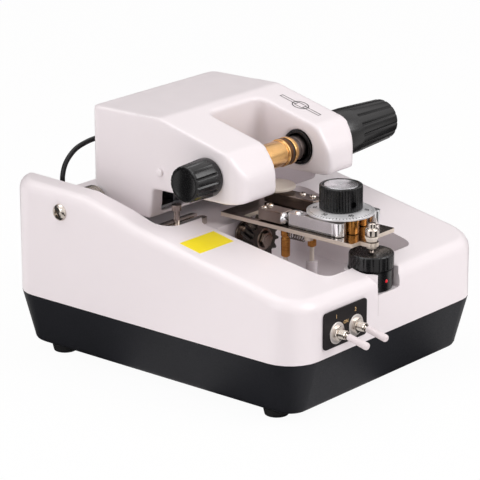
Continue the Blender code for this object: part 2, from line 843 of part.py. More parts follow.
def round_edges(obj, width, segments, chosen):
    """Round the convex edges over 40 degrees that chosen(edge) picks."""
    bm = bmesh.new()
    bm.from_mesh(obj.data)
    bmesh.ops.remove_doubles(bm, verts=bm.verts, dist=WELD)
    bmesh.ops.dissolve_limit(bm, angle_limit=math.radians(0.5), verts=bm.verts, edges=bm.edges)
    sharp = [
        edge
        for edge in bm.edges
        if len(edge.link_faces) == 2
        and edge.is_convex
        and edge.calc_face_angle() > math.radians(40)
        and chosen(edge)
    ]
    bmesh.ops.bevel(
        bm,
        geom=sharp,
        offset=width,
        segments=segments,
        profile=0.5,
        affect="EDGES",
        material=-1,
        clamp_overlap=True,
    )
    bm.to_mesh(obj.data)
    bm.free()
    return shade(obj)


def meets_top(edge):
    """Whether the edge lies between a face that looks up and one that doesn't."""
    slopes = sorted(face.normal.z for face in edge.link_faces)
    return slopes[1] > 0.6 and abs(slopes[0]) < 0.5


def cover_blank(name, inset, rim):
    """The cover's outer form moved in by an inset, with its top edge rounded by rim."""
    side = [(y, z) for y, z, radius in moved_in(cover_side_corners(), inset)]
    bottom = SEAM_HEIGHT + GAP - (OVERRUN if inset else 0.0)
    side[0] = (side[0][0], bottom)
    side[1] = (side[1][0], bottom)
    half_width = BASE_WIDTH / 2
    blank = flat(name, [side], "x", -half_width - OVERRUN, half_width + OVERRUN)
    plan = rounded(plan_corners(inset))
    plan_cutter = flat(f"{name}_plan", [plan], "z", bottom - OVERRUN, CHEEK_HEIGHT + OVERRUN)
    blank = applied(boolean(blank, plan_cutter, "INTERSECT"))
    bpy.data.objects.remove(plan_cutter, do_unlink=True)
    return round_edges(blank, rim, 4, meets_top)


def well_corners():
    return [
        (-WELL_FRONT_HALF_WIDTH, WELL_FRONT_Y, WELL_CORNER),
        (WELL_FRONT_HALF_WIDTH, WELL_FRONT_Y, WELL_CORNER),
        (WELL_HALF_WIDTH, WELL_REAR_Y, WELL_CORNER),
        (-WELL_HALF_WIDTH, WELL_REAR_Y, WELL_CORNER),
    ]


def well_space(name, wall):
    """The well's open space, or the same grown by a wall, drafted towards its floor."""
    floor = WELL_FLOOR - wall
    half_turn = math.radians(45)
    levels = (
        (floor, WELL_DRAFT + WELL_FLOOR_ROUNDING),
        (
            floor + WELL_FLOOR_ROUNDING * (1 - math.cos(half_turn)),
            WELL_DRAFT + WELL_FLOOR_ROUNDING * (1 - math.sin(half_turn)),
        ),
        (floor + WELL_FLOOR_ROUNDING, WELL_DRAFT),
        (CHEEK_HEIGHT + OVERRUN, 0.0),
    )
    rings = [
        level(rounded(moved_in(well_corners(), inset - wall)), height) for height, inset in levels
    ]
    return loft(name, rings)


def channel_space(name, wall, floor):
    """The open channel between the cheeks, or the same grown by a wall."""
    corners = [
        (-CHANNEL_HALF_WIDTH, CHANNEL_FRONT_Y, CHANNEL_CORNER),
        (CHANNEL_HALF_WIDTH, CHANNEL_FRONT_Y, CHANNEL_CORNER),
        (CHANNEL_HALF_WIDTH, CHANNEL_REAR_Y, WELD),
        (-CHANNEL_HALF_WIDTH, CHANNEL_REAR_Y, WELD),
    ]
    outline = rounded(moved_in(corners, -wall))
    return flat(name, [outline], "z", floor, CHEEK_HEIGHT + OVERRUN)


def sill_space(name, wall):
    """The gap in the rear wall between the cheeks, which the raised head swings into."""
    return box(
        name,
        (-CHANNEL_HALF_WIDTH - wall, CHANNEL_REAR_Y - OVERRUN, REAR_SILL_HEIGHT - wall),
        (CHANNEL_HALF_WIDTH + wall, BASE_LENGTH / 2 + OVERRUN, CHEEK_HEIGHT + OVERRUN),
    )


def notch_space(name, wall):
    """The notch in the front wall that shows the turret."""
    half = NOTCH_HALF_WIDTH + wall
    return box(
        name,
        (TURRET_X - half, -BASE_LENGTH / 2 - OVERRUN, NOTCH_FLOOR - wall),
        (TURRET_X + half, TURRET_Y, FRONT_FLANGE_HEIGHT + OVERRUN),
    )


def pocket_space(name, wall):
    """The round pocket that the turret stands in."""
    low = NOTCH_FLOOR - wall
    height = FRONT_FLANGE_HEIGHT + OVERRUN - low
    return rod(name, (TURRET_X, TURRET_Y, low), UP, height, TURRET_POCKET_RADIUS + wall)


def top_cover():
    """The white cover: a shell with a drafted well, a channel for the head and a front notch."""
    below = cover_blank("cover_underside", COVER_WALL, COVER_RIM - COVER_WALL)
    cut(below, well_space("well_bucket", COVER_WALL))
    cut(below, channel_space("channel_tray", COVER_WALL, DECK_HEIGHT - DECK_WALL))
    cut(below, sill_space("sill_wall", COVER_WALL))
    cut(below, notch_space("notch_wall", COVER_WALL))
    cut(below, pocket_space("pocket_wall", COVER_WALL))
    below = applied(below)
    cover = cover_blank("top_cover", 0.0, COVER_RIM)
    cut(cover, below)
    cut(cover, well_space("well_space", 0.0))
    cut(cover, channel_space("channel_space", 0.0, DECK_HEIGHT))
    cut(cover, sill_space("sill_space", 0.0))
    boss_low = WELL_FLOOR - COVER_WALL / 2
    boss_radius = TURRET_POCKET_RADIUS + TURRET_BOSS_WALL
    boss_height = TURRET_BOSS_TOP - boss_low
    join(cover, rod("turret_boss", (TURRET_X, TURRET_Y, boss_low), UP, boss_height, boss_radius))
    for side, x in GUIDE_POST_XS.items():
        socket = rod(
            f"{side}_socket_boss",
            (x, GUIDE_POST_Y, boss_low),
            UP,
            COVER_WALL / 2 + GUIDE_SOCKET_HEIGHT,
            GUIDE_SOCKET_RADIUS,
            sides=SMALL_SIDES,
        )
        join(cover, socket)
    cut(cover, notch_space("notch_space", 0.0), pocket_space("pocket_space", 0.0))
    cover = round_edges(applied(cover, WHITE), EDGE_ROUNDING, 2, meets_top)
    for side, x in GUIDE_POST_XS.items():
        bore = GUIDE_PIN_RADIUS + GAP
        start = (x, GUIDE_POST_Y, WELL_FLOOR)
        cut(cover, rod(f"{side}_socket_bore", start, UP, GUIDE_SOCKET_HEIGHT + OVERRUN, bore, sides=SMALL_SIDES))
    reach = BASE_WIDTH + 2 * OVERRUN
    start = (-reach / 2, HINGE_Y, HINGE_Z)
    cut(cover, rod("screw_holes", start, RIGHT, reach, HINGE_SCREW_SHANK_RADIUS + GAP, sides=SMALL_SIDES))
    inner = BASE_WIDTH - 2 * COVER_WALL - 2 * GAP
    start = (-inner / 2, HINGE_Y, HINGE_Z)
    cut(cover, rod("rod_holes", start, RIGHT, inner, HINGE_ROD_RADIUS + GAP, sides=SMALL_SIDES))
    front = -BASE_LENGTH / 2
    for side, x in TOGGLE_XS.items():
        start = (x, front - OVERRUN, TOGGLE_Z)
        hole = rod(f"{side}_toggle_hole", start, BACK, COVER_WALL + 2 * OVERRUN, BUSHING_RADIUS + GAP)
        cut(cover, hole)
    rear = BASE_LENGTH / 2
    inlet_hole = flat(
        "inlet_hole",
        [inlet_outline(INLET_WIDTH + 2 * GAP, INLET_HEIGHT + 2 * GAP)],
        "y",
        rear - COVER_WALL - OVERRUN,
        rear + OVERRUN,
    )
    start = (CUTTER_X, well_rear_y(CUTTER_Z) - OVERRUN, CUTTER_Z)
    bearing_hole = rod("bearing_hole", start, BACK, COVER_WALL + 2 * OVERRUN, BEARING_RADIUS + GAP)
    deck_hole = rod(
        "deck_gland_hole",
        (CORD_FOOT_X, CORD_FOOT_Y, DECK_HEIGHT - DECK_WALL - OVERRUN),
        UP,
        DECK_WALL + 2 * OVERRUN,
        CORD_GLAND_SHANK_RADIUS + GAP,
        sides=SMALL_SIDES,
    )
    cut(cover, inlet_hole, bearing_hole, deck_hole)


def well_rear_y(height):
    """Where the well's drafted rear wall stands at a height."""
    drop = (CHEEK_HEIGHT + OVERRUN - height) / (CHEEK_HEIGHT + OVERRUN - WELL_FLOOR - WELL_FLOOR_ROUNDING)
    return WELL_REAR_Y - WELL_DRAFT * drop


# Front switches
def circle(centre, radius, sides=SMALL_SIDES):
    turns = [math.tau * side / sides for side in range(sides)]
    return [(centre[0] + radius * math.cos(t), centre[1] + radius * math.sin(t)) for t in turns]


def switch_plate():
    outline = rounded_rectangle(
        (PLATE_LEFT_X, PLATE_LOW_Z), (PLATE_RIGHT_X, PLATE_HIGH_Z), PLATE_CORNER
    )
    holes = [circle((x, TOGGLE_Z), BUSHING_RADIUS + GAP) for x in TOGGLE_XS.values()]
    back = -BASE_LENGTH / 2 - GAP
    flat("switch_plate", [outline, *holes], "y", back - PLATE_THICKNESS, back, GRAPHIC)


def toggle_switch(side, x):
    """One toggle: its body and bushing, washer, nut and lever."""
    inside = -BASE_LENGTH / 2 + COVER_WALL + GAP
    body = box(
        f"{side}_toggle_switch",
        (x - TOGGLE_BODY_WIDTH / 2, inside, TOGGLE_Z - TOGGLE_BODY_HEIGHT / 2),
        (x + TOGGLE_BODY_WIDTH / 2, inside + TOGGLE_BODY_DEPTH, TOGGLE_Z + TOGGLE_BODY_HEIGHT / 2),
        CHROME,
    )
    plate_face = -BASE_LENGTH / 2 - GAP - PLATE_THICKNESS
    mouth = plate_face - BUSHING_REACH
    length = inside - mouth
    profile = [
        (0.0, length - BUSHING_BORE_DEPTH),
        (BUSHING_BORE, length - BUSHING_BORE_DEPTH),
        (BUSHING_BORE, length),
        (BUSHING_RADIUS, length),
        (BUSHING_RADIUS, -OVERRUN),
        (0.0, -OVERRUN),
    ]
    bushing = turned(f"{side}_bushing", profile, (x, inside, TOGGLE_Z), FRONT, sides=SMALL_SIDES)
    join(body, bushing)
    washer_back = plate_face - GAP
    nut_back = washer_back - WASHER_THICKNESS
    thread = circle((x, TOGGLE_Z), BUSHING_BORE + (BUSHING_RADIUS - BUSHING_BORE) / 2)
    washer = [circle((x, TOGGLE_Z), WASHER_RADIUS, ROUND_SIDES), thread]
    join(body, flat(f"{side}_toggle_washer", washer, "y", nut_back, washer_back))
    nut = [circle((x, TOGGLE_Z), NUT_RADIUS, 6), thread]
    nut_front = nut_back - NUT_THICKNESS
    join(body, flat(f"{side}_toggle_nut", nut, "y", nut_front, nut_back + WASHER_THICKNESS / 2))
    pivot = (x, mouth + PIVOT_INSIDE_BUSHING, TOGGLE_Z)
    droop = math.radians(LEVER_DROOP_DEGREES)
    tip_edge = LEVER_TIP_RADIUS * LEVER_TIP_EDGE_SHARE
    profile = [
        (0.0, LEVER_LENGTH),
        (LEVER_TIP_RADIUS - tip_edge, LEVER_LENGTH),
        (LEVER_TIP_RADIUS, LEVER_LENGTH - tip_edge),
        (LEVER_NECK_RADIUS, LEVER_BALL_RADIUS + PIVOT_INSIDE_BUSHING),
        (LEVER_NECK_RADIUS, LEVER_BALL_RADIUS),
        *[
            (LEVER_BALL_RADIUS * math.sin(t), LEVER_BALL_RADIUS * math.cos(t))
            for t in [math.radians(45 + 135 * step / 4) for step in range(4)]
        ],
        (0.0, -LEVER_BALL_RADIUS),
    ]
    pointing = (0.0, -math.cos(droop), -math.sin(droop))
    lever = turned(f"{side}_toggle_lever", profile, pivot, pointing, CHROME, SMALL_SIDES)
    carry(carrier(f"{side}_toggle_axis", pivot), lever)


# Pieces inside the base
def inlet_outline(width, height):
    return rounded_rectangle(
        (INLET_X - width / 2, INLET_Z - height / 2),
        (INLET_X + width / 2, INLET_Z + height / 2),
        INLET_CORNER,
        3,
    )


def power_inlet():
    """The three-pin inlet socket in the rear wall."""
    face = BASE_LENGTH / 2 + GAP
    rim = face + INLET_FLANGE_THICKNESS
    inlet = flat(
        "power_inlet",
        [inlet_outline(INLET_FLANGE_WIDTH, INLET_FLANGE_HEIGHT)],
        "y",
        face,
        rim,
        BLACK,
    )
    body = [inlet_outline(INLET_WIDTH, INLET_HEIGHT)]
    join(inlet, flat("inlet_body", body, "y", face - INLET_DEPTH, face + INLET_FLANGE_THICKNESS / 2))
    socket = [inlet_outline(INLET_SOCKET_WIDTH, INLET_SOCKET_HEIGHT)]
    cut(inlet, flat("inlet_socket", socket, "y", rim - INLET_SOCKET_DEPTH, rim + OVERRUN))
    for index, (x, z) in enumerate(INLET_PIN_PLACES):
        low = (INLET_X + x - PIN_THICKNESS / 2, rim - INLET_SOCKET_DEPTH - PIN_THICKNESS, INLET_Z + z - PIN_HEIGHT / 2)
        high = (INLET_X + x + PIN_THICKNESS / 2, rim - PIN_SETBACK, INLET_Z + z + PIN_HEIGHT / 2)
        join(inlet, box(f"inlet_pin_{index}", low, high))


def transformer():
    """A small mains transformer: the laminated core, and the coil through its two windows."""
    floor = FOOT_HEIGHT + TUB_WALL + GAP
    half_width = TRANSFORMER_WIDTH / 2
    half_length = TRANSFORMER_LENGTH / 2
    window_low = floor + TRANSFORMER_HEIGHT * CORE_YOKE_SHARE
    window_high = floor + TRANSFORMER_HEIGHT * (1 - CORE_YOKE_SHARE)
    leg = half_width * CORE_LEG_SHARE
    limb = half_width * (1 - CORE_YOKE_SHARE)
    outline = rounded_rectangle(
        (TRANSFORMER_X - half_width, floor),
        (TRANSFORMER_X + half_width, floor + TRANSFORMER_HEIGHT),
        WELD,
        1,
    )
    windows = [
        [
            (TRANSFORMER_X + side * leg, window_low),
            (TRANSFORMER_X + side * limb, window_low),
            (TRANSFORMER_X + side * limb, window_high),
            (TRANSFORMER_X + side * leg, window_high),
        ]
        for side in (-1, 1)
    ]
    front = TRANSFORMER_Y - half_length
    rear = TRANSFORMER_Y + half_length
    core = flat("transformer", [outline, *windows], "y", front, rear, STEEL)
    feet_low = (TRANSFORMER_X - TRANSFORMER_FOOT_WIDTH / 2, front, floor)
    feet_high = (TRANSFORMER_X + TRANSFORMER_FOOT_WIDTH / 2, rear, floor + TRANSFORMER_FOOT_THICKNESS)
    join(core, box("transformer_feet", feet_low, feet_high))
    coil = box(
        "transformer_coil",
        (TRANSFORMER_X - limb + GAP, TRANSFORMER_Y - TRANSFORMER_COIL_LENGTH / 2, window_low + GAP),
        (TRANSFORMER_X + limb - GAP, TRANSFORMER_Y + TRANSFORMER_COIL_LENGTH / 2, window_high - GAP),
    )
    join(core, coil)


def control_board():
    """The board that runs both motors, on four pillars, with two relays."""
    floor = FOOT_HEIGHT + TUB_WALL + GAP
    board = box(
        "control_board",
        (BOARD_LEFT_X, BOARD_FRONT_Y, BOARD_HEIGHT),
        (BOARD_RIGHT_X, BOARD_REAR_Y, BOARD_HEIGHT + BOARD_THICKNESS),
        BOARD_GREEN,
    )
    for x in (BOARD_LEFT_X + BOARD_PILLAR_INSET, BOARD_RIGHT_X - BOARD_PILLAR_INSET):
        for y in (BOARD_FRONT_Y + BOARD_PILLAR_INSET, BOARD_REAR_Y - BOARD_PILLAR_INSET):
            height = BOARD_HEIGHT + BOARD_THICKNESS / 2 - floor
            join(board, rod("board_pillar", (x, y, floor), UP, height, BOARD_PILLAR_RADIUS, sides=8))
    middle = (BOARD_LEFT_X + BOARD_RIGHT_X) / 2
    for side in (-1, 1):
        x = middle + side * BOARD_RELAY_SIDE
        y = (BOARD_FRONT_Y + BOARD_REAR_Y) / 2
        half = BOARD_RELAY_SIDE / 2
        low = (x - half, y - half, BOARD_HEIGHT + BOARD_THICKNESS / 2)
        join(board, box("relay", low, (x + half, y + half, BOARD_HEIGHT + BOARD_RELAY_HEIGHT)))


# Milling cutter and its drive
def belt_outline(first, first_radius, second, second_radius, steps=12):
    """The outline round two pulleys, as a belt lies on them."""
    away = Vector(second) - Vector(first)
    heading = math.atan2(away.y, away.x)
    lean = math.acos((first_radius - second_radius) / away.length)
    outline = []
    for centre, radius, start, end in (
        (first, first_radius, heading + lean, heading + math.tau - lean),
        (second, second_radius, heading - lean, heading + lean),
    ):
        for step in range(steps + 1):
            turn = start + (end - start) * step / steps
            outline.append((centre[0] + radius * math.cos(turn), centre[1] + radius * math.sin(turn)))
    return outline


def belt(name, axis, middle, width, thickness, ends):
    """A flat belt round two pulleys: ends are ((u, v), radius) pairs."""
    (first, first_radius), (second, second_radius) = ends
    inner = belt_outline(first, first_radius + GAP, second, second_radius + GAP)
    reach = GAP + thickness
    outer = belt_outline(first, first_radius + reach, second, second_radius + reach)
    return flat(name, [outer, inner], axis, middle - width / 2, middle + width / 2, RUBBER)


def pulley(name, start, direction, radius, flange_radius, width, flange, bore=0.0, finish=None):
    """A flanged pulley, centred on start, with a bore unless it is joined to its shaft."""
    half = width / 2
    profile = [
        (bore, half),
        (flange_radius, half),
        (flange_radius, half - flange),
        (radius, half - flange),
        (radius, flange - half),
        (flange_radius, flange - half),
        (flange_radius, -half),
        (bore, -half),
    ]
    return turned(name, profile, start, direction, finish, SMALL_SIDES, ring=bore > 0)


def cutter():
    """The toothed milling cutter: hooked teeth on a slant, as on a shell mill."""
    teeth = []
    for tooth in range(CUTTER_TEETH):
        for radius, share in zip(
            (CUTTER_ROOT_RADIUS, CUTTER_RADIUS, CUTTER_RADIUS, CUTTER_ROOT_RADIUS),
            CUTTER_TOOTH_SHARES,
        ):
            turn = math.tau * (tooth + share) / CUTTER_TEETH
            teeth.append((radius, turn))
    rings = []
    steps = 3
    for step in range(steps + 1):
        twist = math.radians(CUTTER_TWIST_DEGREES) * step / steps
        height = CUTTER_WIDTH * (step / steps - 0.5)
        ring = [(r * math.cos(t + twist), r * math.sin(t + twist), height) for r, t in teeth]
        rings.append(ring)
    centre = (CUTTER_X, CUTTER_Y, CUTTER_Z)
    body = loft("milling_cutter", rings, TOOL_STEEL)
    body.data.transform(along(centre, BACK))
    bore = CUTTER_SHAFT_RADIUS + GAP
    start = (CUTTER_X, CUTTER_Y - CUTTER_WIDTH / 2 - OVERRUN, CUTTER_Z)
    cut(body, rod("cutter_bore", start, BACK, CUTTER_WIDTH + 2 * OVERRUN, bore, sides=SMALL_SIDES))
    nut_rear = CUTTER_Y - CUTTER_WIDTH / 2 - GAP
    shaft_front = nut_rear - CUTTER_NUT_THICKNESS - GAP
    shaft_rear = BELT_Y + PULLEY_WIDTH / 2 + GAP
    start = (CUTTER_X, shaft_front, CUTTER_Z)
    shaft = rod(
        "cutter_shaft", start, BACK, shaft_rear - shaft_front, CUTTER_SHAFT_RADIUS, STEEL, sides=SMALL_SIDES
    )
    hub = circle((CUTTER_X, CUTTER_Z), CUTTER_HUB_RADIUS)
    nut = circle((CUTTER_X, CUTTER_Z), CUTTER_HUB_RADIUS, 6)
    join(
        shaft,
        flat("cutter_nut", [nut], "y", nut_rear - CUTTER_NUT_THICKNESS, nut_rear),
        flat("cutter_collar", [hub], "y", CUTTER_Y + CUTTER_WIDTH / 2 + GAP, bearing_front() - GAP),
        pulley(
            "cutter_pulley",
            (CUTTER_X, BELT_Y, CUTTER_Z),
            BACK,
            PULLEY_RADIUS,
            PULLEY_FLANGE_RADIUS,
            PULLEY_WIDTH,
            PULLEY_FLANGE_THICKNESS,
        ),
    )
    carry(carrier("cutter_axis", centre), body, shaft)


def bearing_front():
    """Where the bearing's flange faces the well, clear of the drafted wall behind it."""
    foot = CUTTER_Z - BEARING_FLANGE_RADIUS
    return well_rear_y(foot) - GAP - BEARING_FLANGE_THICKNESS


def cutter_drive():
    """The bearing in the well's wall, the motor on its bracket, its pulley and the belt."""
    bore = CUTTER_SHAFT_RADIUS + GAP
    profile = [
        (bore, 0.0),
        (BEARING_FLANGE_RADIUS, 0.0),
        (BEARING_FLANGE_RADIUS, -BEARING_FLANGE_THICKNESS),
        (BEARING_RADIUS, -BEARING_FLANGE_THICKNESS),
        (BEARING_RADIUS, -BEARING_LENGTH - BEARING_FLANGE_THICKNESS),
        (bore, -BEARING_LENGTH - BEARING_FLANGE_THICKNESS),
    ]
    place = (CUTTER_X, bearing_front(), CUTTER_Z)
    turned("cutter_bearing", profile, place, FRONT, STEEL, ring=True)
    profile = [
        (0.0, MOTOR_FRONT_Y - BELT_Y + PULLEY_WIDTH / 2),
        (MOTOR_SHAFT_RADIUS, MOTOR_FRONT_Y - BELT_Y + PULLEY_WIDTH / 2),
        (MOTOR_SHAFT_RADIUS, MOTOR_BOSS_LENGTH),
        (MOTOR_BOSS_RADIUS, MOTOR_BOSS_LENGTH),
        (MOTOR_BOSS_RADIUS, 0.0),
        (MOTOR_RADIUS, 0.0),
        (MOTOR_RADIUS, -MOTOR_LENGTH),
        (0.0, -MOTOR_LENGTH),
    ]
    motor = turned("cutter_motor", profile, (CUTTER_X, MOTOR_FRONT_Y, MOTOR_Z), FRONT, STEEL)
    floor = FOOT_HEIGHT + TUB_WALL + GAP
    plate_front = MOTOR_FRONT_Y - BRACKET_THICKNESS
    half = BRACKET_WIDTH / 2
    plate_top = MOTOR_Z + MOTOR_RADIUS
    plate = box(
        "motor_plate", (CUTTER_X - half, plate_front, floor), (CUTTER_X + half, MOTOR_FRONT_Y, plate_top)
    )
    foot_rear = MOTOR_FRONT_Y + BRACKET_FOOT
    foot_top = floor + BRACKET_THICKNESS
    foot = box(
        "motor_foot", (CUTTER_X - half, plate_front, floor), (CUTTER_X + half, foot_rear, foot_top)
    )
    join(motor, plate, foot)
    place = (CUTTER_X, BELT_Y, MOTOR_Z)
    wheel = pulley(
        "motor_pulley",
        place,
        BACK,
        PULLEY_RADIUS,
        PULLEY_FLANGE_RADIUS,
        PULLEY_WIDTH,
        PULLEY_FLANGE_THICKNESS,
        MOTOR_SHAFT_RADIUS + GAP,
        ALUMINIUM,
    )
    carry(carrier("motor_pulley_axis", place), wheel)
    ends = (((CUTTER_X, CUTTER_Z), PULLEY_RADIUS), ((CUTTER_X, MOTOR_Z), PULLEY_RADIUS))
    belt("cutter_belt", "y", BELT_Y, BELT_WIDTH, BELT_THICKNESS, ends)


# Hinge of the head
def hinge():
    """The rod through both cheeks, its end screws, the sleeves on it and the counter spring."""
    start = (-HINGE_ROD_REACH, HINGE_Y, HINGE_Z)
    hinge_rod = rod("hinge_rod", start, RIGHT, 2 * HINGE_ROD_REACH, HINGE_ROD_RADIUS, STEEL)
    for side, sign in (("left", -1), ("right", 1)):
        out = (sign, 0.0, 0.0)
        start = (sign * (HINGE_ROD_REACH - HINGE_SCREW_SHANK), HINGE_Y, HINGE_Z)
        bore = HINGE_SCREW_SHANK_RADIUS + GAP
        length = HINGE_SCREW_SHANK + OVERRUN
        cut(hinge_rod, rod(f"{side}_rod_bore", start, out, length, bore, sides=SMALL_SIDES))
        face = BASE_WIDTH / 2 + GAP
        shank = face - HINGE_ROD_REACH + HINGE_SCREW_SHANK - HINGE_SCREW_TIP_ROOM
        dome = [
            (HINGE_SCREW_RADIUS * math.sin(t), HINGE_SCREW_HEIGHT * math.cos(t))
            for t in [math.radians(90 * step / 4) for step in range(5)]
        ]
        profile = [*dome, (HINGE_SCREW_SHANK_RADIUS, 0.0), (HINGE_SCREW_SHANK_RADIUS, -shank), (0.0, -shank)]
        screw = turned(
            f"{side}_hinge_screw", profile, (sign * face, HINGE_Y, HINGE_Z), out, CHROME, SMALL_SIDES
        )
        deep = face + HINGE_SCREW_HEIGHT - CROSS_DEPTH
        high = face + HINGE_SCREW_HEIGHT + OVERRUN
        low_x, high_x = sorted((sign * deep, sign * high))
        for index, (half_y, half_z) in enumerate(
            ((CROSS_LENGTH / 2, CROSS_WIDTH / 2), (CROSS_WIDTH / 2, CROSS_LENGTH / 2))
        ):
            low = (low_x, HINGE_Y - half_y, HINGE_Z - half_z)
            cut(screw, box(f"{side}_cross_{index}", low, (high_x, HINGE_Y + half_y, HINGE_Z + half_z)))
        head_face = HEAD_HALF_WIDTH + GAP + BUSH_FLANGE_THICKNESS + GAP
        sleeve_end = CHANNEL_HALF_WIDTH - GAP
        low_x, high_x = sorted((sign * head_face, sign * sleeve_end))
        centre = (HINGE_Y, HINGE_Z)
        flat_share = math.cos(math.pi / SPRING_POINTS_PER_TURN)
        spring_inside = SPRING_RADIUS * flat_share - SPRING_WIRE_RADIUS
        outline = [
            circle(centre, spring_inside - GAP, 20),
            circle(centre, HINGE_ROD_RADIUS / 2, 20),
        ]
        join(hinge_rod, flat(f"{side}_hinge_sleeve", outline, "x", low_x, high_x))
    start_x = -CHANNEL_HALF_WIDTH + GAP + SPRING_WIRE_RADIUS
    end_x = -HEAD_HALF_WIDTH - BUSH_FLANGE_THICKNESS - 3 * GAP - SPRING_WIRE_RADIUS
    steps = SPRING_TURNS * SPRING_POINTS_PER_TURN
    points = [(start_x, HINGE_Y + SPRING_RADIUS, DECK_HEIGHT + GAP)]
    for step in range(steps + 1):
        turn = math.tau * step / SPRING_POINTS_PER_TURN
        x = start_x + (end_x - start_x) * step / steps
        points.append((x, HINGE_Y + SPRING_RADIUS * math.cos(turn), HINGE_Z + SPRING_RADIUS * math.sin(turn)))
    pitch = (end_x - start_x) / SPRING_TURNS
    print("hinge spring: least gap between turns", round((pitch - 2 * SPRING_WIRE_RADIUS) * 1000, 2), "mm")
    tube("hinge_spring", points, SPRING_WIRE_RADIUS, STEEL, 1)


# Clamp head
def head_side_corners():
    """The head's side outline as (y, z, radius), anticlockwise."""
    return [
        (LOBE_FRONT_Y, LOBE_BOTTOM_Z, LOBE_CHIN_ROUNDING),
        (CUTOUT_Y, CUTOUT_Z, HEAD_SMALL_ROUNDING),
        (CUTOUT_Y + REAR_BOTTOM_LEAN, REAR_BOTTOM_Z, HEAD_SMALL_ROUNDING),
        (EAR_SLOPE_Y, REAR_BOTTOM_Z, HEAD_KNEE_ROUNDING),
        (EAR_FRONT_Y, EAR_BOTTOM_Z, HEAD_SMALL_ROUNDING),
        (HEAD_REAR_Y, EAR_BOTTOM_Z, EAR_ROUNDING),
        (HEAD_REAR_Y, HEAD_TOP_Z - HEAD_REAR_TOP_DROP, HEAD_SMALL_ROUNDING),
        (HEAD_KNEE_Y, HEAD_TOP_Z, HEAD_KNEE_ROUNDING),
        (LOBE_SHOULDER_Y, LOBE_SHOULDER_Z, LOBE_SHOULDER_ROUNDING),
        (LOBE_BROW_Y, LOBE_BROW_Z, HEAD_KNEE_ROUNDING),
    ]


def head_plan_corners():
    """The head's forked plan as (x, y, radius), anticlockwise from the front left."""
    half = HEAD_HALF_WIDTH
    return [
        (-half, LOBE_FRONT_Y, LOBE_LEFT_CORNER),
        (MOUTH_LEFT_X, LOBE_FRONT_Y, LOBE_INNER_CORNER),
        (MOUTH_LEFT_X, MOUTH_REAR_Y, MOUTH_CORNER),
        (MOUTH_RIGHT_X, MOUTH_REAR_Y, MOUTH_CORNER),
        (MOUTH_RIGHT_X, LOBE_FRONT_Y, LOBE_INNER_CORNER),
        (half, LOBE_FRONT_Y, LOBE_RIGHT_CORNER),
        (half, HEAD_REAR_Y, HEAD_REAR_CORNER),
        (-half, HEAD_REAR_Y, HEAD_REAR_CORNER),
    ]


def head_blank(name, inset):
    """The head's form moved in by an inset: its side outline crossed with its plan."""
    side = rounded(moved_in(head_side_corners(), inset), 4)
    plan = rounded(moved_in(head_plan_corners(), inset), 5)
    reach = HEAD_HALF_WIDTH + OVERRUN
    blank = flat(name, [side], "x", -reach, reach)
    plan_cutter = flat(f"{name}_plan", [plan], "z", EAR_BOTTOM_Z - OVERRUN, HEAD_TOP_Z + OVERRUN)
    blank = applied(boolean(blank, plan_cutter, "INTERSECT"))
    bpy.data.objects.remove(plan_cutter, do_unlink=True)
    return blank


def any_edge(edge):
    return True


